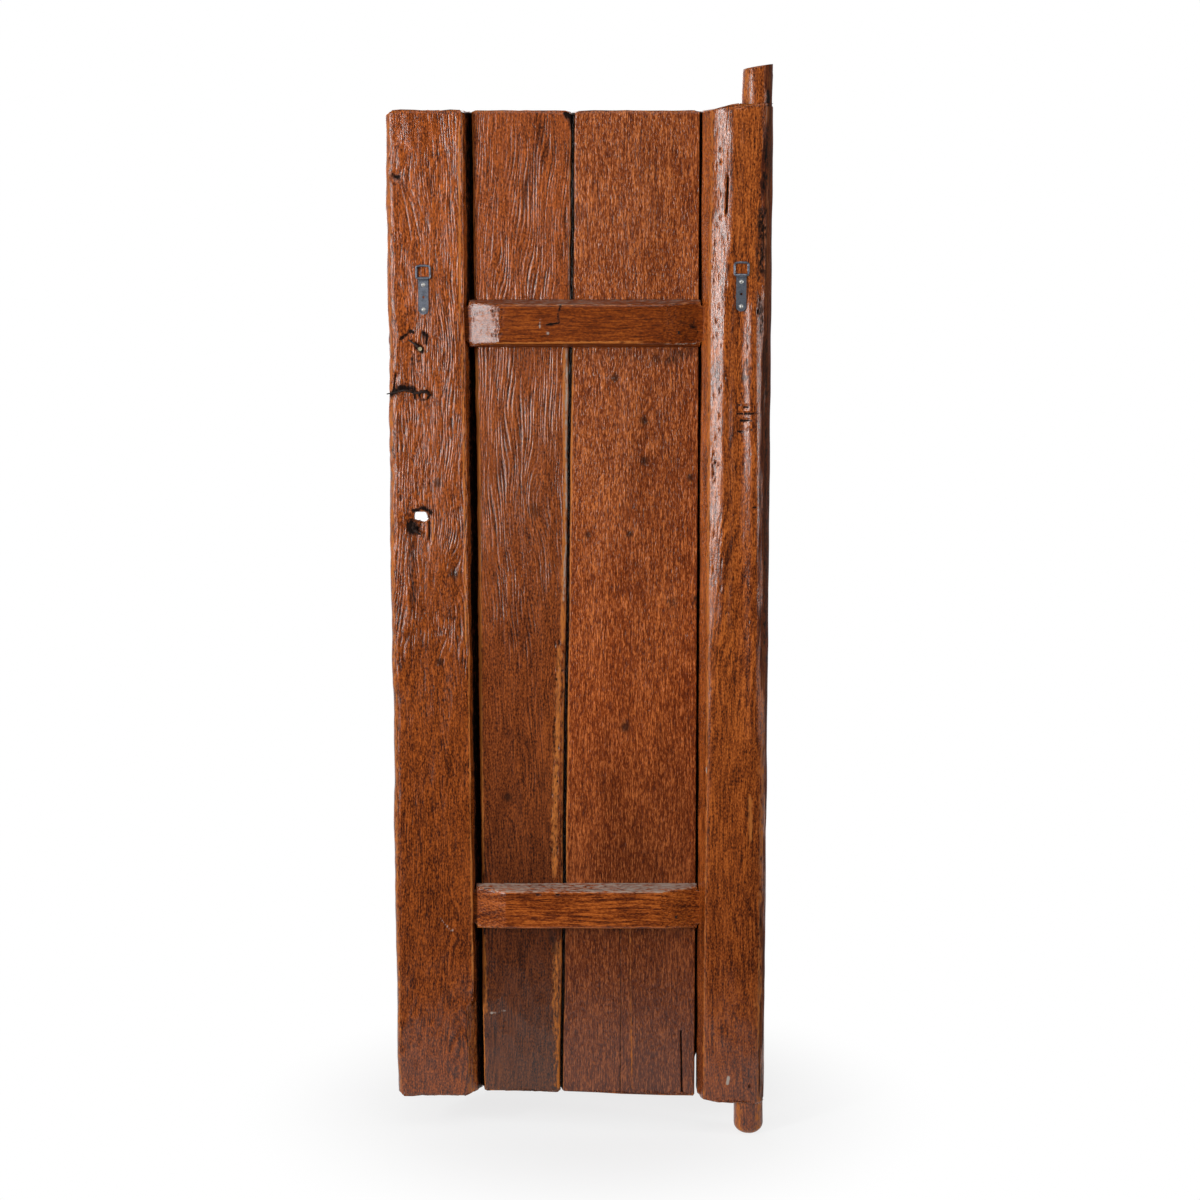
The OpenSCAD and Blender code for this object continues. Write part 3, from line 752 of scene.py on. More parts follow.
@dataclass
class Timber:
    """One hewn timber: a fine skin laid on its solid, with relief, stains, wear, painted shade and
    highlights.

    Steps, margins, radii and reaches are in millimetres, and places in the door's frame are in metres. A
    pair for the two sides or ends has the lower one first. A share through the timber goes from 0 at the
    front to 1 at the back. A turn is the least part of a normal at which something starts, and its pace.
    """

    node: str
    slot: str
    finish: TimberFinish
    relief: Relief
    knots: tuple[Knot, ...] = ()
    blemishes: tuple[Blemish, ...] = ()
    run: Run = Run.UPRIGHT
    fine_step: float = 1.2
    side_step: float = 4.0
    front_step: float = 6.0
    row_step: float = 5.0
    flat_margin: float = 22.0
    clear_end: float = 20.0
    stand_off: float = 4.0
    arris_round: Span = (0.0, 0.0)
    arris_worn: Span = (0.0, 0.0)
    arris_share: float = 0.25
    arris_reach: float = 2.6
    tongue: Span = (0.0, 0.0)
    tongue_from: float = 0.0
    tongue_rise: float = 20.0
    tongue_share: float = 0.6
    tongue_sunk: Span = (10.0, 6.0)
    tongue_reach: float = 4.0
    dusty_top: float = 0.0
    # dirt and painted shade on the lower and the higher long side, deep in the joints
    sides_dirt_and_shade: Span = (0.75, 0.75)
    dirt_and_shade_depth: float = 6.0
    scar_dirt: float = 0.5
    corners_worn: tuple[tuple[float, float, float], ...] = ()
    end_shares: tuple[float, ...] = (0.93, 0.7, 0.35, 0.0)
    end_reach: float = 30.0
    near_end: float = 1.5
    edge_probe: float = 50.0
    corner_depth: float = 0.55
    back_turn: Span = (0.0, 2.0)
    side_turn: Span = (0.6, 3.0)
    bevel_turn: Span = (0.05, 4.0)
    top_turn: Span = (0.3, 2.0)
    arris_pace: float = 2.4
    arris_most: float = 0.5
    front_least: float = 0.5
    front_relief: float = 0.4
    calm_front: Span = (4.0, 10.0)

    def __post_init__(self) -> None:
        """Takes the solid's box and faces, and the way the timber runs."""
        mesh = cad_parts[self.node].data
        faces = [polygon.vertices for polygon in mesh.polygons]
        self.solid = BVHTree.FromPolygons([vert.co for vert in mesh.vertices], faces)
        self.low, self.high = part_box(self.node)
        self.wide, self.long = (0, 2) if self.run is Run.UPRIGHT else (2, 0)
        self.ends = (self.low[self.long], self.high[self.long])

    def point(self, wide: float, y: float, long: float) -> Vector:
        """Gives the point for places across, through and along the timber."""
        return Vector((wide, y, long)) if self.run is Run.UPRIGHT else Vector((long, y, wide))

    def edges_at(self, long: float, share: float = 0.25) -> tuple[float, float]:
        """Finds the timber's two edges at one place along it.

        Args:
            long: The place along the timber.
            share: Where the edges are taken, from 0 at the front to 1 at the back.

        Returns:
            The lower and the higher edge, across the timber.
        """
        y = self.high.y - share * (self.high.y - self.low.y)
        out = self.point(1, 0, 0)
        reach = self.edge_probe * MM
        first = self.solid.ray_cast(self.point(self.low[self.wide] - reach, y, long), out)[0]
        last = self.solid.ray_cast(self.point(self.high[self.wide] + reach, y, long), -out)[0]
        if first is None or last is None:
            return self.low[self.wide], self.high[self.wide]
        return first[self.wide], last[self.wide]

    def ring(self, long: float) -> list[Vector]:
        """Lays one ring of the skin on the solid.

        Args:
            long: Place along the timber.

        Returns:
            The ring's points: back, right side, front, left side.
        """
        off = self.stand_off * MM
        left, right = self.edges_at(long)
        low, high = self.low.y - off, self.high.y + off
        corners = ((left - off, low), (right + off, low), (right + off, high), (left - off, high))
        width = self.high[self.wide] - self.low[self.wide]
        depth = self.high.y - self.low.y
        steps = (self.fine_step, self.side_step, self.front_step, self.side_step)
        points = []
        for side, (extent, step) in enumerate(zip((width, depth, width, depth), steps)):
            start, end = corners[side], corners[(side + 1) % 4]
            count = max(LEAST_STEPS, round(extent / (step * MM)))
            for i in range(count):
                wide = start[0] + (end[0] - start[0]) * i / count
                y = start[1] + (end[1] - start[1]) * i / count
                flat = side in (0, 2) and self.is_flat(wide - left, right - wide, long)
                level = (self.low.y, 0.0, self.high.y, 0.0)[side]
                if flat:
                    points.append(self.point(wide, level, long))
                else:
                    points.append(self.solid.find_nearest(self.point(wide, y, long))[0])
        return points

    def is_flat(self, from_left: float, from_right: float, long: float) -> bool:
        """Says whether a place is well inside the flat of a face."""
        inside = min(from_left, from_right) > self.flat_margin * MM
        return inside and self.ends[0] + self.clear_end * MM < long < self.ends[1] - self.clear_end * MM

    def cap(self, rim: list[Vector], share: float, way: int) -> list[Vector]:
        """Draws a ring in over the timber's end.

        Args:
            rim: The last ring of the sides.
            share: Size of the new ring as a share of the rim.
            way: -1 for the first end, 1 for the last.

        Returns:
            The new ring's points.
        """
        centre = sum(rim, Vector()) / len(rim)
        out = self.point(0, 0, self.stand_off * MM * way)
        return [self.solid.find_nearest(centre + (place - centre) * share + out)[0] for place in rim]

    def skin(self) -> bmesh.types.BMesh:
        """Makes the closed skin of the timber.

        Returns:
            The skin, with its ends capped.
        """
        start, end = self.ends
        steps = max(LEAST_STEPS, round((end - start) / (self.row_step * MM)))
        near_end = self.near_end * MM
        inner = [start + (end - start) * i / steps for i in range(1, steps)]
        rings = [self.ring(long) for long in (start, start + near_end, *inner, end - near_end, end)]
        foot = [self.cap(rings[0], share, -1) for share in reversed(self.end_shares)]
        head = [self.cap(rings[-1], share, 1) for share in self.end_shares]
        return grid_of(np.array(foot + rings + head))

    def grain_lines(self, grain: np.ndarray) -> tuple[np.ndarray, np.ndarray]:
        """Draws the raised grain, bent round the knots.

        Args:
            grain: Places across, through and along the grain.

        Returns:
            The lines from 0 to 1, and how dark the knots are.
        """
        r = self.relief
        bend = noise_field(grain, r.bend_size, r.seed) * r.wander
        bend += noise_field(grain, r.wriggle_size, r.seed + 7.7) * r.wander * r.wriggle
        dark = np.zeros(len(grain))
        for knot in self.knots:
            x, z = PHOTO.on_plane(knot.pixel, self.low.y)
            wide, long = (x, z) if self.run is Run.UPRIGHT else (z, x)
            across = (grain[:, 0] - wide) / (knot.radius * MM)
            along = (grain[:, 2] - long) / (knot.radius * knot.stretch * MM)
            bend += knot.rings * np.exp(-(across / knot.bends[0]) ** 2 - (along / knot.bends[1]) ** 2)
            dark = np.maximum(dark, knot.dark * np.exp(-(across ** 2 + along ** 2) ** 2))
        count = (grain[:, 0] + r.slant * grain[:, 1]) / (r.pitch * MM) + bend
        flow = np.stack([count * r.pitch * MM, np.zeros(len(grain)), grain[:, 2]], axis=1)
        streak = noise_field(flow, r.streak_size(r.fine_streak), r.seed + 17.3)
        streak += r.broad_share * noise_field(flow, r.streak_size(r.broad_streak), r.seed + 19.9)
        middle, swing = r.strength
        strength = middle + swing * noise_field(grain, r.patch_size, r.seed + 13.1)
        lines = r.ring_share * np.cos(FULL_TURN * count) + r.streak_share * streak
        return np.clip(0.5 + lines * np.clip(strength, *r.strength_limits), 0, 1), dark

    def edge_lines(self, place: np.ndarray, share: float) -> list[np.ndarray]:
        """Finds the timber's two edges beside each point.

        Args:
            place: The skin's points.
            share: Where the edges are taken, through the timber.

        Returns:
            The lower and the higher edge, across the timber, for each point.
        """
        longs = np.linspace(*self.ends, EDGE_SAMPLES)[1:-1]
        edges = np.array([self.edges_at(long, share) for long in longs])
        return [np.interp(place[:, self.long], longs, edge) for edge in edges.T]

    def round_arrises(self, place: np.ndarray, normal: np.ndarray) -> np.ndarray:
        """Rounds the back's two long arrises and says where they are worn, which also paints highlights.

        Args:
            place: The skin's points, which are moved.
            normal: Their normals, which are turned.

        Returns:
            How worn each point is, as a share from 0 to 1.
        """
        worn = np.zeros(len(place))
        for side, edge in enumerate(self.edge_lines(place, self.arris_share)):
            way = 1 - 2 * side
            radius = self.arris_round[side] * MM
            inward = (place[:, self.wide] - edge) * way - radius
            sunk = place[:, 1] - self.low.y - radius
            reach = np.hypot(inward, sunk)
            outside = (inward < 0) & (sunk < 0) & (reach > radius) & (radius > 0)
            turn = np.stack([inward, sunk], axis=1)[outside] / reach[outside, None]
            place[outside, self.wide] = edge[outside] + way * radius * (1 + turn[:, 0])
            place[outside, 1] = self.low.y + radius * (1 + turn[:, 1])
            normal[outside] = 0.0
            normal[outside, self.wide] = way * turn[:, 0]
            normal[outside, 1] = turn[:, 1]
            gap = np.hypot(place[:, self.wide] - edge, place[:, 1] - self.low.y)
            worn = np.maximum(worn, self.arris_worn[side] * np.exp(-(gap / (self.arris_reach * MM)) ** 2))
        return worn

    def marked(self, place: np.ndarray, back: np.ndarray) -> dict[Mark, np.ndarray]:
        """Lays the blemishes on the back. Dents add up, and of other marks the strongest counts.

        Args:
            place: The skin's points.
            back: How far each point faces back, from 0 to 1.

        Returns:
            The amount of each mark at each point.
        """
        marks = {mark: np.zeros(len(place)) for mark in Mark}
        for blemish in self.blemishes:
            amount = blemish.falloff(place[:, 0], place[:, 2], self.low.y) * back * blemish.amount
            held = marks[blemish.mark]
            marks[blemish.mark] = held + amount if blemish.mark is Mark.DENT else np.maximum(held, amount)
        return marks

    def side_dirt_and_shade(self, place: np.ndarray, normal: np.ndarray) -> np.ndarray:
        """Works out how dark the long sides are in the joints between the boards: dirt and painted shade.

        Args:
            place: The skin's points.
            normal: Their normals.

        Returns:
            A share from 0 to 1 for each point.
        """
        dirt = turned(np.abs(normal[:, self.wide]), *self.side_turn)
        dirt *= np.where(normal[:, self.wide] < 0, *self.sides_dirt_and_shade)
        # none where a side stands proud of the planks, full from the planks' back inwards: painted shade in
        # the joint
        dirt *= np.clip((place[:, 1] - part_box("narrow_plank")[0].y) / (self.dirt_and_shade_depth * MM) + 1, 0, 1)
        return dirt

    def relief_depth(self, grain: np.ndarray, normal: np.ndarray, ring: np.ndarray,
                     marks: dict[Mark, np.ndarray]) -> np.ndarray:
        """Works out how deep the worked and weathered surface lies.

        Args:
            grain: Places across, through and along the grain.
            normal: The normals there.
            ring: The grain's lines, from 0 to 1.
            marks: The amount of each mark.

        Returns:
            The depth at each point, in metres, calm near the front.
        """
        r = self.relief
        back = turned(-normal[:, 1], *self.back_turn)
        heights = grain[:, 2 if self.run is Run.UPRIGHT else 0]
        raised = np.interp(heights, *np.array(r.stands_out).T)
        wave = noise_field(grain, r.wave_size, r.seed + 3.0)
        ripple_size = tuple(size / r.ripple_part for size in r.wave_size)
        wave += r.ripple * noise_field(grain, ripple_size, r.seed + 4.0)
        depth = r.wave * (wave + r.sink) + (0.5 - ring) * r.grain * raised
        depth = depth + marks[Mark.DENT] + marks[Mark.SCAR]
        if r.scoop:
            depth += r.scoop * (BOWL_LEVEL - cell_field(grain, r.scoop_size, r.seed)) * back
        if r.nap:
            depth += r.nap * noise_field(grain, r.nap_size, r.seed + 21.0) * back
        if r.scaly:
            bevel = turned(np.abs(normal[:, self.long]), *self.bevel_turn) * back
            depth += r.scaly * (BOWL_LEVEL - cell_field(grain, r.scale_size, r.seed + 27.0)) * bevel
        plain, fading = self.calm_front
        from_front = (self.high.y - grain[:, 1]) / MM
        calm = np.clip((from_front - plain) / fading, 0.0, 1.0)
        return depth * (np.where(normal[:, 1] > self.front_least, self.front_relief, calm) * MM)

    def weather(self, mesh: bpy.types.Mesh) -> None:
        """Works the relief into the mesh; stores grain, grime, wear, dust, painted shade and highlights.

        Args:
            mesh: The timber's skin, which is changed.
        """
        total = len(mesh.vertices)
        place, normal = np.zeros(total * 3), np.zeros(total * 3)
        mesh.vertices.foreach_get("co", place)
        mesh.vertex_normals.foreach_get("vector", normal)
        place, normal = place.reshape(-1, 3), normal.reshape(-1, 3)
        rubbed = self.round_arrises(place, normal)
        grain = place[:, [self.wide, 1, self.long]]
        back = turned(-normal[:, 1], *self.back_turn)
        marks = self.marked(place, back)
        ring, knot = self.grain_lines(grain)
        moved = place - normal * self.relief_depth(grain, normal, ring, marks)[:, None]
        moved[:, self.long] += self.end_wear(grain)
        moved[:, self.wide] += self.tongue_shift(place)
        mesh.vertices.foreach_set("co", moved.ravel())
        square = np.maximum(np.abs(normal[:, self.wide]), np.abs(normal[:, 1]))
        arris = np.clip((1 - square) * self.arris_pace, 0, self.arris_most)
        scarred = np.abs(marks[Mark.SCAR]) * self.scar_dirt
        settled = turned(normal[:, 2], *self.top_turn) * self.dusty_top
        stored = {
            "ring": ring,
            "knot": knot * back,
            "grime_and_shade": np.clip(marks[Mark.GRIME_AND_SHADE] + scarred + self.side_dirt_and_shade(place, normal), 0, 1),
            "worn": np.clip(marks[Mark.WORN_AND_LIT] + arris * back + rubbed, 0, 1),
            "dust_and_sheen": np.maximum(marks[Mark.DUST_AND_SHEEN], settled),
        }
        for name, values in stored.items():
            layer = mesh.attributes.new(name, "FLOAT", "POINT")
            layer.data.foreach_set("value", values.astype(np.float32))
        mesh.update()

    def tongue_shift(self, place: np.ndarray) -> np.ndarray:
        """Works out how far the front of each edge reaches into the joint beside it.

        Args:
            place: The skin's points.

        Returns:
            A shift across the timber for each point.
        """
        clear, fading = self.tongue_sunk
        share = np.clip((place[:, 1] - self.low.y - clear * MM) / (fading * MM), 0, 1)
        share *= np.clip((place[:, self.long] - self.tongue_from) / (self.tongue_rise * MM), 0, 1)
        shift = np.zeros(len(place))
        edges = self.edge_lines(place, self.tongue_share)
        for way, length, edge in zip((-1, 1), self.tongue, edges):
            inward = (place[:, self.wide] - edge) / (self.tongue_reach * MM)
            shift += way * length * MM * np.exp(-inward ** 2)
        return shift * share

    def end_wear(self, grain: np.ndarray) -> np.ndarray:
        """Works out how far the worn ends stand back or forward.

        Args:
            grain: Places across, through and along the grain.

        Returns:
            A shift along the grain for each place.
        """
        reach = self.end_reach * MM
        shift = np.zeros(len(grain))
        for way, end, ragged in zip((1, -1), self.ends, self.relief.ragged):
            near = np.exp(-((grain[:, 2] - end) / reach) ** 2)
            uneven = noise_field(grain, self.relief.end_size, self.relief.seed + 31.0 + way)
            shift += way * near * (self.relief.end_sink - uneven) * ragged * MM
        middle = sum(self.ends) / 2
        for wide, end, size in self.corners_worn:
            across = (grain[:, 0] - wide) / (size * MM)
            along = (grain[:, 2] - end) / (size * MM)
            depth = math.copysign(self.corner_depth * size * MM, end - middle)
            shift -= depth * np.exp(-across ** 2 - along ** 2)
        return shift

    def extend(self, bm: bmesh.types.BMesh) -> None:
        """Adds what a particular timber has besides its plain skin."""

    def build(self) -> None:
        """Builds and dresses the timber, in place of its solid."""
        bm = self.skin()
        self.extend(bm)
        for face in bm.faces:
            face.smooth = True
        mesh = bpy.data.meshes.new(self.node + "_wood")
        bm.to_mesh(mesh)
        bm.free()
        self.weather(mesh)
        piece = bpy.data.objects.new(self.node + "_wood", mesh)
        bpy.context.scene.collection.objects.link(piece)
        mesh.materials.append(self.finish.make())
        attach(piece, LEAF)
        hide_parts(self.node)
        log.info("%s: %d faces", piece.name, len(mesh.polygons))


@dataclass
class LockStile(Timber):
    """The stile at the lock side, with its broken latch hole."""

    hole: tuple[Pixel, ...] = (
        (415, 512), (425.5, 512), (427, 515.5), (430, 519), (424, 521), (421, 519), (415, 519))
    near: float = 0.8
    facing: float = 0.7

    def hole_edge(self, centre: Vector, outline: list[Vector], angle: float) -> float:
        """Finds how far the hole reaches from its centre in one direction.

        Args:
            centre: The hole's centre, as x and z.
            outline: The hole's corners, as x and z.
            angle: Direction in the face, from x towards z.

        Returns:
            The distance in metres.
        """
        way = Vector((math.cos(angle), math.sin(angle)))
        for start, end in zip(outline, outline[1:] + outline[:1]):
            run = end - start
            across = way.x * run.y - way.y * run.x
            if abs(across) < 1e-12:
                continue
            offset = start - centre
            reach = (offset.x * run.y - offset.y * run.x) / across
            share = (offset.x * way.y - offset.y * way.x) / across
            if reach > 0 and 0 <= share <= 1:
                return reach
        return 0.0

    def extend(self, bm: bmesh.types.BMesh) -> None:
        """Breaks the latch hole through the stile, along the photograph's line of sight.

        Args:
            bm: The stile's skin, which is changed.
        """
        rims = []
        for y, way in ((self.low.y, -1), (self.high.y, 1)):
            outline = [Vector(PHOTO.on_plane(pixel, y)) for pixel in self.hole]
            centre = sum(outline, Vector((0.0, 0.0))) / len(outline)
            reach = max((corner - centre).length for corner in outline) + self.near * MM
            cut = []
            for face in bm.faces:
                middle = face.calc_center_median()
                offset = Vector((middle.x, middle.z)) - centre
                if face.normal.y * way > self.facing and offset.length < reach:
                    edge = self.hole_edge(centre, outline, math.atan2(offset.y, offset.x))
                    if offset.length < edge + self.near * MM:
                        cut.append(face)
            bmesh.ops.delete(bm, geom=cut, context="FACES")
            rim = [edge for edge in bm.edges if edge.is_boundary and edge not in rims]
            for vert in {vert for edge in rim for vert in edge.verts}:
                offset = Vector((vert.co.x, vert.co.z)) - centre
                angle = math.atan2(offset.y, offset.x)
                edge = self.hole_edge(centre, outline, angle)
                vert.co.x = centre.x + edge * math.cos(angle)
                vert.co.z = centre.y + edge * math.sin(angle)
            rims += rim
        bmesh.ops.bridge_loops(bm, edges=rims)
        bmesh.ops.recalc_face_normals(bm, faces=bm.faces)


@dataclass
class HingeStile(Timber):
    """The stile at the hinge side, hewn in one with its two pivots.

    A pivot's radius is measured from a point outside it, at the probe's distance from its axis. The
    shoulders, the probe and the aim for the rim are in metres.
    """

    shoulders: Span = (0.0, 1.834)
    pivot_ring: int = 64
    pivot_step: float = 4.0
    pivot_root: float = 8.0
    pivot_seam: float = 1.0
    probe: float = 0.1
    probe_rise: float = 0.02
    rim_aim: float = 0.035

    def __post_init__(self) -> None:
        """Ends the stile's own skin at the pivots' shoulders."""
        super().__post_init__()
        self.tips = self.ends
        self.ends = self.shoulders

    def pivot(self, shoulder: float, tip: float) -> bmesh.types.BMesh:
        """Makes the skin of one pivot.

        Args:
            shoulder: Height of the stile's end that carries it.
            tip: Height of the pivot's own end.

        Returns:
            The closed skin, rooted inside the stile.
        """
        way = 1 if tip > shoulder else -1
        angles = np.linspace(0, FULL_TURN, self.pivot_ring, False)
        spokes = [Vector((math.cos(angle), math.sin(angle), 0)) for angle in angles]
        wide = 0.5 * (self.radius_at(shoulder + way * self.probe_rise, spokes[0]) + self.rim_aim)
        above = Vector((0, 0, tip + way * self.stand_off * MM))
        rim = [self.solid.find_nearest(spoke * wide + above)[0] for spoke in spokes]
        steps = max(LEAST_STEPS, round(abs(tip - shoulder) / (self.pivot_step * MM)))
        start = shoulder + way * self.pivot_seam * MM
        rings = []
        for i in range(steps):
            heights = [start + (top.z - start) * i / steps for top in rim]
            rings.append([spoke * self.radius_at(height, spoke) + Vector((0, 0, height))
                          for spoke, height in zip(spokes, heights)])
        rings.append(rim)
        sunk = Vector((0, 0, -way * self.pivot_root * MM))
        inside = [[place + sunk for place in rings[0]]]
        closed = [[Vector((0, 0, shoulder)) + sunk] * len(spokes)]
        head = [self.cap(rim, share, way) for share in self.end_shares]
        return grid_of(np.array(closed + inside + rings + head))

    def radius_at(self, height: float, spoke: Vector) -> float:
        """Measures a pivot's radius at one height and in one direction.

        Args:
            height: The height in the door's frame.
            spoke: The direction, level and of length 1.

        Returns:
            The radius in metres, or 0 where there is no pivot.
        """
        start = spoke * self.probe + Vector((0, 0, height))
        hit = self.solid.ray_cast(start, -spoke)[0]
        return Vector((hit.x, hit.y)).length if hit else 0.0

    def extend(self, bm: bmesh.types.BMesh) -> None:
        """Adds the two pivots to the stile.

        Args:
            bm: The stile's skin, which is changed.
        """
        for shoulder, tip in zip(self.shoulders, self.tips):
            pivot = self.pivot(shoulder, tip)
            part = bpy.data.meshes.new("pivot")
            pivot.to_mesh(part)
            pivot.free()
            bm.from_mesh(part)
            bpy.data.meshes.remove(part)


def pits(seed: int, count: int, columns: Span, rows: Span, depth: Span = (0.8, 1.8)) -> tuple[Blemish, ...]:
    """Scatters small dark pits over a worn place.

    Args:
        seed: Start of the random draws.
        count: How many pits.
        columns: First and last column of the place in the photograph.
        rows: Its upper and lower row.
        depth: The least and the greatest depth in millimetres.

    Returns:
        The pits.
    """
    draw = random.Random(seed)
    found = []
    for _ in range(count):
        at = (draw.uniform(*columns), draw.uniform(*rows))
        reach = (draw.uniform(*PIT_WIDTH), draw.uniform(*PIT_HEIGHT))
        found.append(Blemish(Mark.SCAR, (at,), reach, draw.uniform(*depth)))
    return tuple(found)


LOCK_FINISH = TimberFinish(
    "lock_stile_varnish", srgb(70, 28, 10), srgb(146, 69, 23), srgb(208, 108, 42), 11.0,
    streaky=0.95, speckle=1.1, figure=0.28, cracked=0.35, specular=0.5,
    fade=((0.0, (0.56, 0.54, 0.5)), (0.3, (0.7, 0.68, 0.6)), (0.55, (0.82, 0.82, 0.82)),
          (0.85, (1, 1, 1))))
HINGE_FINISH = TimberFinish(
    "hinge_stile_varnish", srgb(70, 29, 11), srgb(152, 73, 25), srgb(212, 116, 48), 23.0,
    streaky=1.05, speckle=1.0, figure=0.26, fibre_mm=0.25, specular=0.5, tar=Tar(0.008),
    fade=((0.0, (0.57, 0.53, 0.5)), (0.3, (0.82, 0.78, 0.74)), (0.6, (1, 1, 1)), (1.0, (1, 1, 1))))
NARROW_FINISH = TimberFinish(
    "narrow_plank_varnish", srgb(66, 28, 11), srgb(144, 69, 28), srgb(202, 106, 45), 37.0,
    streaky=0.9, speckle=1.0, figure=0.28, cracked=0.28, specular=0.5,
    fade=((0.0, (0.28, 0.33, 0.42)), (0.2, (0.34, 0.35, 0.43)), (0.42, (0.7, 0.69, 0.69)),
          (0.68, (0.88, 0.92, 1)), (0.85, (1, 1, 1))))
WIDE_FINISH = TimberFinish(
    "wide_plank_varnish", srgb(94, 39, 13), srgb(146, 68, 24), srgb(224, 130, 68), 51.0,
    streaky=1.2, speckle=1.0, fleck_size=(1.5, 6.5), fibre_mm=0.2, nap_mm=0.75, specular=0.5,
    fade=((0.0, (0.41, 0.39, 0.44)), (0.22, (0.54, 0.52, 0.54)), (0.42, (1, 0.9, 0.78)),
          (0.65, (0.95, 0.95, 0.95))))
BATTEN_FINISH = TimberFinish(
    "batten_varnish", srgb(64, 25, 6), srgb(121, 52, 11), srgb(170, 86, 26), 67.0, Run.LEVEL,
    streaky=1.1, speckle=0.6, fibre_mm=0.04, nap_mm=0.03, roughness=0.3)
LOWER_BATTEN_FINISH = TimberFinish(
    "lower_batten_varnish", srgb(74, 29, 9), srgb(138, 63, 19), srgb(194, 102, 38), 71.0, Run.LEVEL,
    streaky=1.5, speckle=0.7, figure=0.4, fibre_mm=0.3)

LOCK_KNOTS = (Knot((438, 483), 8), Knot((454, 574), 9), Knot((440, 662), 8), Knot((396, 178), 9, 5, 0.3))
LOCK_BLEMISHES = (
    Blemish(Mark.DENT, ((393, 175), (397, 177)), (8, 7), 4.0),
    Blemish(Mark.DENT, ((398, 150), (400, 162)), (7, 12), -1.6),
    Blemish(Mark.GRIME_AND_SHADE, ((392, 175), (398, 177)), (6, 5), 0.85),
    Blemish(Mark.SCAR, ((399, 181), (405, 205), (411, 240)), (1.2, 2), 1.0),
    Blemish(Mark.SCAR, ((401, 182), (412, 208), (421, 245)), (1.2, 2), 1.0),
    Blemish(Mark.SCAR, ((403, 183), (419, 204), (430, 232)), (1.2, 2), 0.8),
    Blemish(Mark.GRIME_AND_SHADE, ((400, 339), (409, 332.5)), (2.6, 3), 0.95),
    Blemish(Mark.DENT, ((401, 340), (409, 334)), (2.4, 3), 2.0),
    Blemish(Mark.GRIME_AND_SHADE, ((410, 331), (413, 332)), (4, 4), 1.0),
    Blemish(Mark.DENT, ((411, 331),), (4, 4), 2.2),
    Blemish(Mark.GRIME_AND_SHADE, ((423, 333), (427, 337), (426, 343)), (5, 5), 0.8),
    Blemish(Mark.SCAR, ((423, 332), (428, 336)), (2, 2), 1.6),
    Blemish(Mark.DENT, ((419, 348),), (6, 6), 3.0),
    # painted shade: a dark disc for the depth of the upper pin's hole
    Blemish(Mark.GRIME_AND_SHADE, ((417, 346), (422, 351)), (6, 6), 1.0),
    Blemish(Mark.GRIME_AND_SHADE, ((413, 355), (412, 372)), (4, 8), 0.55),
    Blemish(Mark.DENT, ((392, 393), (408, 389)), (5, 7), 2.5),
    Blemish(Mark.GRIME_AND_SHADE, ((390, 395), (400, 388), (412, 388)), (6, 7), 1.0),
    Blemish(Mark.GRIME_AND_SHADE, ((414.5, 389), (415, 398)), (3, 4), 1.0),
    Blemish(Mark.GRIME_AND_SHADE, ((419, 395), (421, 391.5), (427, 391.5), (430, 395), (427, 399), (421, 399),
                         (419, 395)), (2.2, 2.2), 1.0),
    Blemish(Mark.DENT, ((421.5, 395),), (3, 3), 2.0),
    Blemish(Mark.SCAR, ((395.2, 374), (393.6, 388)), (1.5, 2), 3.0),
    Blemish(Mark.DENT, ((396.5, 376), (396.5, 384)), (3.5, 6), 2.6),
    Blemish(Mark.SCAR, ((428, 378),), (1.6, 1.6), 1.8),
    Blemish(Mark.GRIME_AND_SHADE, ((410, 524), (413, 530)), (12, 12), 1.0),
    Blemish(Mark.GRIME_AND_SHADE, ((413, 511), (424, 508), (431, 513)), (4, 4), 0.9),
    Blemish(Mark.DENT, ((411, 524), (420, 522)), (11, 11), 4.0),
    Blemish(Mark.GRIME_AND_SHADE, ((411, 545), (413, 600)), (10, 22), 0.5),
    # a notch: the dark streak is painted shade on its sunken side, the pale line a painted highlight on its
    # lit edge
    Blemish(Mark.DENT, ((429.6, 522), (430, 540)), (2.6, 4), 2.6),
    Blemish(Mark.GRIME_AND_SHADE, ((429.2, 522), (429.4, 539)), (2.2, 3), 0.85),
    Blemish(Mark.WORN_AND_LIT, ((432.4, 521), (432.8, 540)), (1.6, 3), 0.9),
    Blemish(Mark.DENT, ((400, 498),), (7, 10), 1.8),
    Blemish(Mark.GRIME_AND_SHADE, ((400, 498),), (6, 8), 0.55),
    Blemish(Mark.DUST_AND_SHEEN, ((440.4, 918), (445, 924), (451.5, 931.5), (455, 929)), (1.0, 1.0), 0.75),
    # worn right arris, made pale also as a painted highlight where it faces the light
    Blemish(Mark.WORN_AND_LIT, ((459, 130), (460, 320)), (2.2, 9), 0.75),
    Blemish(Mark.WORN_AND_LIT, ((462, 330), (466, 640)), (2.2, 9), 0.7),
    Blemish(Mark.WORN_AND_LIT, ((469, 660), (472, 980)), (2.0, 9), 0.5),
)
NARROW_KNOTS = (Knot((534, 510), 13, 5, 0.45), Knot((508, 797), 8))
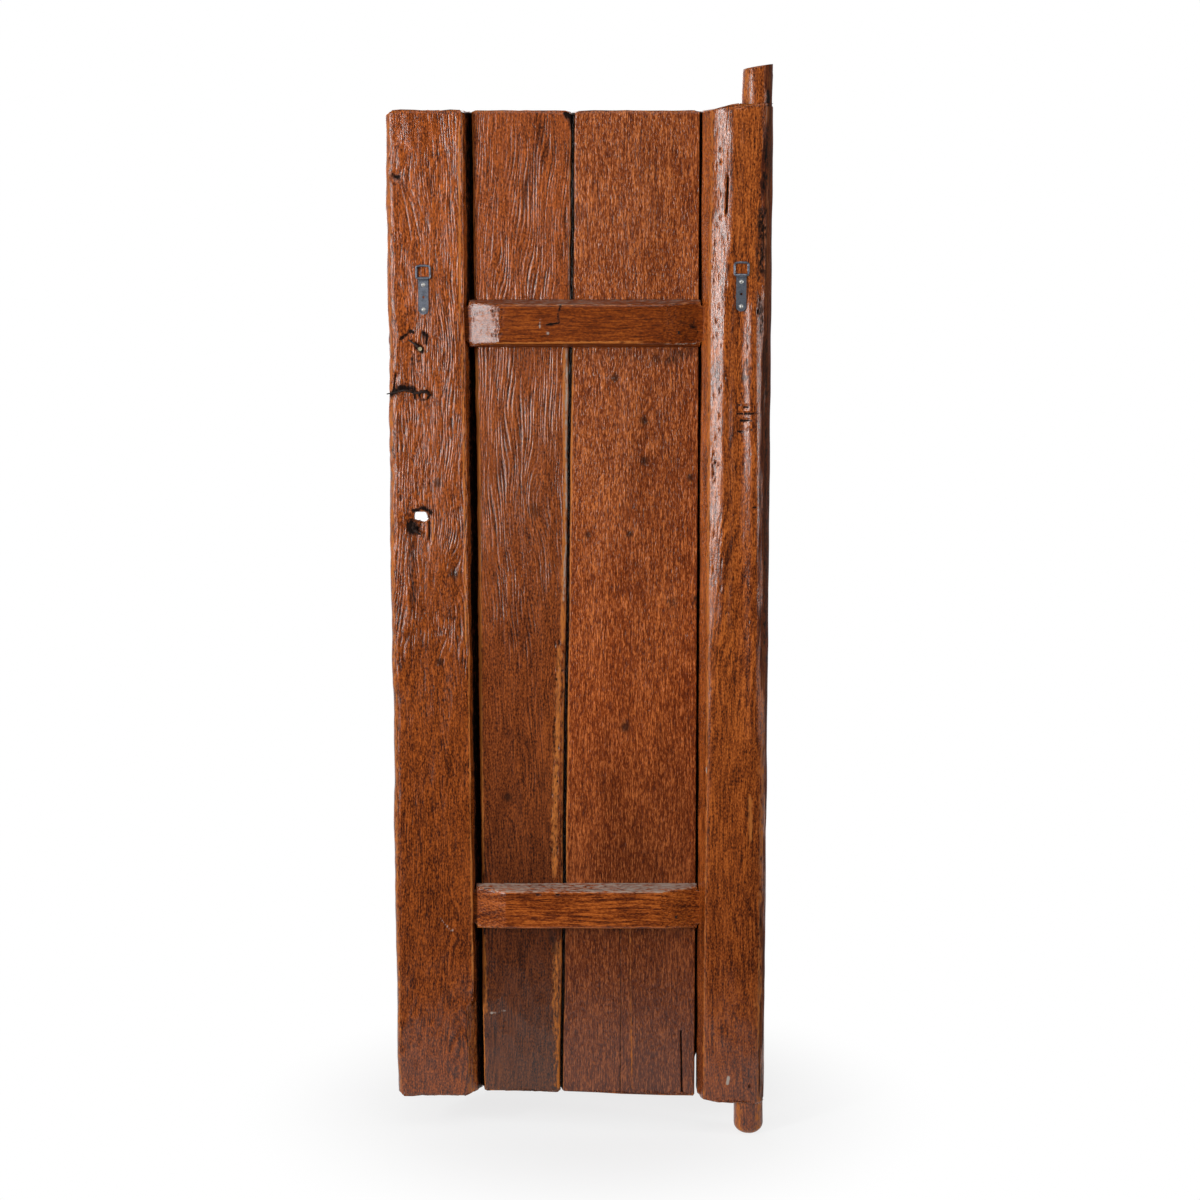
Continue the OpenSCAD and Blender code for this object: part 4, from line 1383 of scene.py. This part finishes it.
NARROW_BLEMISHES = (
    Blemish(Mark.GRIME_AND_SHADE, ((566, 113), (572, 118), (573, 128)), (6, 9), 0.95),
    Blemish(Mark.WORN_AND_LIT, ((564.6, 352), (564.4, 540), (563, 575), (562, 640)), (4.0, 9), 0.75),
    Blemish(Mark.WORN_AND_LIT, ((559.5, 650), (558, 700), (557, 757)), (7.5, 12), 0.6),
    Blemish(Mark.WORN_AND_LIT, ((556, 768), (554.5, 818), (555, 872)), (7.5, 12), 0.58),
    # painted highlight: a pale pink sheen along the right arris, laid as dust
    Blemish(Mark.DUST_AND_SHEEN, ((566.6, 352), (566.4, 540), (563.5, 600)), (3.6, 9), 0.55),
    # worn left arris, brightened also as a painted highlight on the side that faces the light
    Blemish(Mark.WORN_AND_LIT, ((476.2, 352), (478.5, 460), (480, 640), (482.5, 868)), (3.4, 9), 1.0),
    Blemish(Mark.WORN_AND_LIT, ((484, 940), (486, 1010)), (4, 9), 0.7),
    Blemish(Mark.WORN_AND_LIT, ((557, 945), (555, 990), (558, 1085)), (8, 9), 0.5),
    Blemish(Mark.DUST_AND_SHEEN, ((490.5, 1013), (505, 1011)), (2, 1.5), 0.7),
    Blemish(Mark.GRIME_AND_SHADE, ((552, 936), (556, 952)), (7, 9), 0.5),
    *pits(12, 34, (555, 563), (640, 750), (1.0, 2.2)),
    *pits(13, 34, (551, 559), (750, 872), (1.0, 2.2)),
)
WIDE_KNOTS = (Knot((644, 421), 8), Knot((644, 461), 8), Knot((690, 477), 6), Knot((615, 378), 7),
              Knot((630, 534), 6), Knot((588, 535), 6), Knot((656, 359), 8, 3, 0.5), Knot((625, 727), 9))
WIDE_BLEMISHES = (
    Blemish(Mark.SCAR, ((620, 925), (621, 1010), (620, 1092)), (0.9, 3), 1.6),
    Blemish(Mark.WORN_AND_LIT, ((630, 930), (632, 1090)), (1.3, 9), 0.6),
    Blemish(Mark.SCAR, ((681, 1032), (682, 1095)), (1.2, 3), 4.0),
    Blemish(Mark.GRIME_AND_SHADE, ((672, 603),), (14, 12), 0.4),
    Blemish(Mark.GRIME_AND_SHADE, ((694, 598), (696, 606)), (6, 8), 0.55),
    Blemish(Mark.WORN_AND_LIT, ((690, 483),), (5, 3), 0.8),
    # worn left arris, made pale also as a painted highlight
    Blemish(Mark.WORN_AND_LIT, ((572.8, 352), (571.3, 480), (568.8, 680), (566.2, 878)), (1.7, 9), 0.85),
    Blemish(Mark.GRIME_AND_SHADE, ((668, 360), (692, 352)), (14, 14), 0.48),
)
HINGE_KNOTS = (Knot((744, 378), 6), Knot((761, 210), 5))
HINGE_BLEMISHES = (
    Blemish(Mark.SCAR, ((728, 178), (727, 205), (726, 213)), (1.4, 3), 4.0),
    Blemish(Mark.SCAR, ((728, 404), (740, 405)), (2, 1.0), 1.4),
    Blemish(Mark.SCAR, ((744, 407), (756, 406)), (2, 1.5), 2.8),
    Blemish(Mark.SCAR, ((738, 414), (757, 413)), (2, 1.5), 3.0),
    Blemish(Mark.SCAR, ((741, 421), (752, 420)), (2, 1.5), 2.4),
    Blemish(Mark.SCAR, ((738, 432), (751, 430)), (2, 1.5), 2.4),
    Blemish(Mark.SCAR, ((712, 461), (721, 467)), (1.6, 1.0), 1.6),
    Blemish(Mark.SCAR, ((752, 507), (758, 508)), (1.6, 1.0), 1.8),
    Blemish(Mark.DUST_AND_SHEEN, ((706, 769), (706, 772)), (1.6, 3), 0.9),
    Blemish(Mark.DUST_AND_SHEEN, ((728.5, 1078), (727.5, 1083)), (2.4, 3), 1.3),
    Blemish(Mark.WORN_AND_LIT, ((750, 800), (751, 838)), (4, 8), 0.7),
    Blemish(Mark.GRIME_AND_SHADE, ((750, 1087),), (7, 7), 0.7),
    Blemish(Mark.DENT, ((738, 300), (738, 400), (739, 520), (738, 640)), (18, 40), 2.5),
    Blemish(Mark.DENT, ((754, 310), (754, 420), (755, 560), (754, 735)), (13, 30), -6.8),
    Blemish(Mark.DENT, ((737, 100), (735, 200), (730, 290), (726, 350), (725.5, 560), (724, 620)),
            (13, 40), -4.8),
    Blemish(Mark.DENT, ((709, 112), (710, 205)), (12, 25), 4.0),
    Blemish(Mark.GRIME_AND_SHADE, ((769, 92), (769, 102)), (5, 8), 0.95),
    Blemish(Mark.GRIME_AND_SHADE, ((767, 128), (767, 165), (764, 190)), (7, 12), 0.65),
    Blemish(Mark.GRIME_AND_SHADE, ((763, 214), (761, 245), (761, 274)), (11, 14), 0.65),
    Blemish(Mark.GRIME_AND_SHADE, ((759, 302), (762, 328)), (9, 14), 0.6),
    Blemish(Mark.GRIME_AND_SHADE, ((766, 340), (767, 480), (766, 640)), (8, 16), 0.6),
    Blemish(Mark.GRIME_AND_SHADE, ((768, 660), (769, 900)), (3, 12), 0.8),
    *pits(7, 70, (712, 729), (130, 620)),
    *pits(8, 30, (748, 758), (300, 640)),
)
UPPER_BLEMISHES = (
    Blemish(Mark.GRIME_AND_SHADE, ((548, 324.5), (556, 323.5)), (4, 2.4), 1.0),
    Blemish(Mark.GRIME_AND_SHADE, ((559, 322), (558, 314), (561, 303)), (2, 3), 0.8),
    Blemish(Mark.DUST_AND_SHEEN, ((547.5, 333),), (3, 3.4), 0.7),
    Blemish(Mark.DUST_AND_SHEEN, ((540.5, 316), (540, 327)), (1.6, 3), 0.45),
    Blemish(Mark.GRIME_AND_SHADE, ((692, 326),), (7, 7), 0.7),
    Blemish(Mark.WORN_AND_LIT, ((500, 343.5), (560, 342.5), (640, 341.5)), (8, 2.0), 0.6),
    Blemish(Mark.DENT, ((503, 312),), (5, 4), 0.8),
    Blemish(Mark.DENT, ((505, 330),), (4, 5), 0.6),
    Blemish(Mark.DENT, ((495, 320),), (4, 6), -0.7),
    *pits(9, 14, (471, 498), (304, 345), (0.3, 0.9)),
    *pits(11, 44, (492, 503), (304, 336), (0.6, 1.5)),
    *pits(10, 60, (664, 702), (304, 345), (0.4, 1.2)),
    Blemish(Mark.DUST_AND_SHEEN, ((472, 346.5), (560, 346), (700, 344)), (8, 1.6), 0.55),
    Blemish(Mark.DUST_AND_SHEEN, ((472, 302), (560, 301.5), (700, 300.5)), (8, 1.6), 0.45),
)
LOWER_BLEMISHES = (
    Blemish(Mark.SCAR, ((537, 895), (540, 895)), (2, 2), 2.0),
    Blemish(Mark.SCAR, ((556, 895), (559, 895)), (2, 2), 2.0),
    Blemish(Mark.DUST_AND_SHEEN, ((484, 888), (560, 886), (690, 888)), (10, 2.2), 0.85),
    Blemish(Mark.WORN_AND_LIT, ((500, 890), (600, 889)), (10, 3), 0.6),
)


@dataclass
class DoorWood:
    """The two stiles, two planks and two battens."""

    stile: str = "stile_timber"
    plank: str = "plank_timber"
    batten: str = "batten_timber"
    row_step: float = 4.0
    batten_steps: Span = (2.0, 2.5)

    def build(self) -> None:
        """Builds the timbers from the lock side to the hinge side, then the battens."""
        self.build_stile_at_lock()
        self.build_planks()
        self.build_stile_at_hinge()
        self.build_battens()

    def build_stile_at_lock(self) -> None:
        """Builds the lock stile, with deep grain and two worn corners."""
        stands_out = ((0.7, 0.3), (1.0, 0.9), (1.38, 1.0), (1.52, 0.65), (1.8, 0.45))
        relief = Relief(2.0, (34, 95), grain=2.2, pitch=4.8, streak=21, wander=12, seed=2.0,
                        stands_out=stands_out)
        LockStile("lock_stile", self.stile, LOCK_FINISH, relief, LOCK_KNOTS, LOCK_BLEMISHES,
                  row_step=self.row_step, arris_round=(16.0, 3.0), sides_dirt_and_shade=(0.1, 0.75),
                  corners_worn=((-0.66, 1.826, 10.0), (-0.66, 0.008, 6.0))).build()

    def build_planks(self) -> None:
        """Builds the narrow plank, hewn in scoops, and the wide one, rough from the saw."""
        scooped = Relief(0.8, (50, 170), 1.4, (28, 64), grain=1.6, pitch=5.0, streak=46, wander=9, seed=5.0)
        # the worn left arris also paints a highlight on the edge that faces the light
        Timber("narrow_plank", self.plank, NARROW_FINISH, scooped, NARROW_KNOTS, NARROW_BLEMISHES,
               row_step=self.row_step, arris_round=(5.0, 9.0), arris_worn=(0.8, 0.0), arris_share=0.85,
               tongue=(5.0, 0.0)).build()
        sawn = Relief(0.6, (80, 260), grain=0.3, pitch=8.0, wander=5, nap=0.3, seed=9.0)
        Timber("wide_plank", self.plank, WIDE_FINISH, sawn, WIDE_KNOTS, WIDE_BLEMISHES,
               fine_step=1.5, front_step=12.0, row_step=self.row_step, tongue=(0.0, 8.0),
               tongue_from=0.07).build()

    def build_stile_at_hinge(self) -> None:
        """Builds the hinge stile, smooth and round."""
        relief = Relief(1.3, (34, 110), 0.5, (34, 90), grain=0.25, pitch=8.0, wander=6, seed=14.0)
        HingeStile("hinge_stile", self.stile, HINGE_FINISH, relief, HINGE_KNOTS, HINGE_BLEMISHES,
                   row_step=self.row_step, flat_margin=NEVER_FLAT, sides_dirt_and_shade=(0.75, 0.2)).build()

    def build_battens(self) -> None:
        """Builds the upper and the lower batten, with scaly bevels and dust on their top faces."""
        side_step, row_step = self.batten_steps
        for node, finish, seed, blemishes, dusty in (
                ("upper_batten", BATTEN_FINISH, 17.0, UPPER_BLEMISHES, 0.3),
                ("lower_batten", LOWER_BATTEN_FINISH, 19.0, LOWER_BLEMISHES, 0.5)):
            relief = Relief(0.6, (30, 90), grain=0.2, wander=4, scaly=0.12, seed=seed)
            Timber(node, self.batten, finish, relief, (), blemishes, Run.LEVEL, side_step=side_step,
                   row_step=row_step, flat_margin=NEVER_FLAT, dusty_top=dusty).build()


@dataclass
class Ironwork:
    """The nails, the bent pins and the two hangers, on their own solids."""

    iron: MetalFinish = MetalFinish("black_iron", BLACK_IRON, RUST, 0.5, 0.8, 0.7, 0.4)
    rubbed: MetalFinish = MetalFinish("rubbed_iron", BLACK_IRON, RUST, 0.45, 0.8, 0.6, 0.3, (420, 349))
    zinc: MetalFinish = MetalFinish("zinc_plate", ZINC, DULL_ZINC, 0.36, 0.7, 0.85, 0.12)
    bright: MetalFinish = MetalFinish("bright_screw", BRIGHT_STEEL, DULL_STEEL, 0.3, 0.4, 0.7)

    def dress(self) -> None:
        """Gives each solid its metal."""
        iron, zinc, bright = self.iron.make(), self.zinc.make(), self.bright.make()
        metals = {name: iron for name in ("plank_nails", "middle_split_pin", "lower_split_pin")}
        metals["upper_split_pin"] = self.rubbed.make()
        for side in ("lock", "hinge"):
            metals[side + "_hanger_strap"] = zinc
            metals[side + "_hanger_ring"] = zinc
            metals[side + "_hanger_screws"] = bright
        for name, metal in metals.items():
            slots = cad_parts[name].data.materials
            slots.clear()
            slots.append(metal)
            log.info("%s: %s", name, metal.name)


@dataclass(frozen=True)
class SoftBox:
    """A soft box of the studio, with its place and size in metres and its power in watts."""

    name: str
    place: Place
    size: Size
    power: float

    def hang(self, aim: Vector) -> None:
        """Hangs the soft box so that it looks at a point.

        Args:
            aim: The point.
        """
        data = bpy.data.lights.new(self.name, "AREA")
        data.shape = "RECTANGLE"
        data.size, data.size_y = self.size
        data.energy = self.power
        lamp = bpy.data.objects.new(self.name, data)
        lamp.location = self.place
        lamp.rotation_euler = (aim - Vector(self.place)).to_track_quat("-Z", "Y").to_euler()
        bpy.context.scene.collection.objects.link(lamp)
        log.info("%s: %d W", self.name, self.power)


@dataclass
class Studio:
    """Pale floor, white backdrop and soft light, mostly from the left, in a dim room."""

    floor_radius: float = 0.85
    floor_centre: Span = (-0.3, 0.15)
    floor_points: int = 96
    floor_grey: float = 0.75
    floor_glow: float = 0.75
    floor_fades: Span = (0.2, 0.7)
    room: float = 0.06
    behind: float = 0.15
    aim: Place = (-0.3, 0.0, 1.1)
    boxes: tuple[SoftBox, ...] = (
        SoftBox("strip_left", (-2.75, -2.4, 1.4), (0.4, 1.9), 95.0),
        SoftBox("strip_right", (3.1, -0.9, 1.4), (0.4, 1.9), 35.0),
        SoftBox("top_fill", (0.2, -2.6, 4.2), (3.0, 2.0), 45.0),
        SoftBox("front_fill", (-1.6, 4.0, 2.4), (3.0, 3.0), 60.0),
    )

    def build(self) -> None:
        """Builds the floor, the lamps and the world."""
        bpy.context.scene.view_settings.view_transform = "Standard"
        self.floor()
        for box in self.boxes:
            box.hang(Vector(self.aim))
        self.world()

    def floor(self) -> None:
        """Lays a round floor under the bottom pivot, which fades to white at its rim."""
        mesh = bpy.data.meshes.new("studio_floor")
        bm = bmesh.new()
        bmesh.ops.create_circle(bm, cap_ends=True, segments=self.floor_points, radius=self.floor_radius)
        bmesh.ops.translate(bm, verts=bm.verts, vec=(*self.floor_centre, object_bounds()[0][2]))
        bm.to_mesh(mesh)
        bm.free()
        floor = bpy.data.objects.new("studio_floor", mesh)
        bpy.context.scene.collection.objects.link(floor)
        g = Graph("studio_floor")
        plain = g.node("ShaderNodeBsdfDiffuse", {"Color": (*[self.floor_grey] * 3, 1.0)})
        white = g.node("ShaderNodeEmission", {"Color": (1, 1, 1, 1), "Strength": 1.0})
        camera, mirrored = g.light_paths()
        faded = g.step(g.away(g.position(), (*self.floor_centre, 0.0)), *self.floor_fades)
        glow = g.add(g.times(faded, 1 - self.floor_glow), self.floor_glow)
        share = g.times(g.math("MAXIMUM", camera, mirrored), glow)
        both = g.node("ShaderNodeMixShader", {0: share, 1: plain.outputs[0], 2: white.outputs[0]})
        g.tree.links.new(both.outputs[0], g.output.inputs[0])
        mesh.materials.append(g.material)
        floor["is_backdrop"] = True
        log.info("%s: %d points", floor.name, self.floor_points)

    def world(self) -> None:
        """Makes a world that is white to the camera, and behind the door in reflections too."""
        g = WorldGraph("studio_white")
        camera, mirrored = g.light_paths()
        facing = g.node("ShaderNodeTexCoord").outputs["Generated"]
        depth = g.node("ShaderNodeSeparateXYZ", {0: facing}).outputs[1]
        around = {"Value": depth, "From Min": -self.behind, "From Max": self.behind}
        behind = g.node("ShaderNodeMapRange", around).outputs[0]
        seen = g.math("MAXIMUM", camera, g.times(mirrored, behind))
        level = g.node("ShaderNodeMapRange", {"Value": seen, "To Min": self.room, "To Max": 1.0}).outputs[0]
        back = g.node("ShaderNodeBackground", {"Color": (1, 1, 1, 1), "Strength": level})
        g.tree.links.new(back.outputs[0], g.output.inputs[0])
        bpy.context.scene.world = g.world


def main() -> None:
    """Builds the door and its studio."""
    logging.basicConfig(level=logging.INFO)
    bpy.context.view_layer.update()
    PHOTO.make()
    DoorWood().build()
    Ironwork().dress()
    Studio().build()


if __name__ == "__main__":
    main()
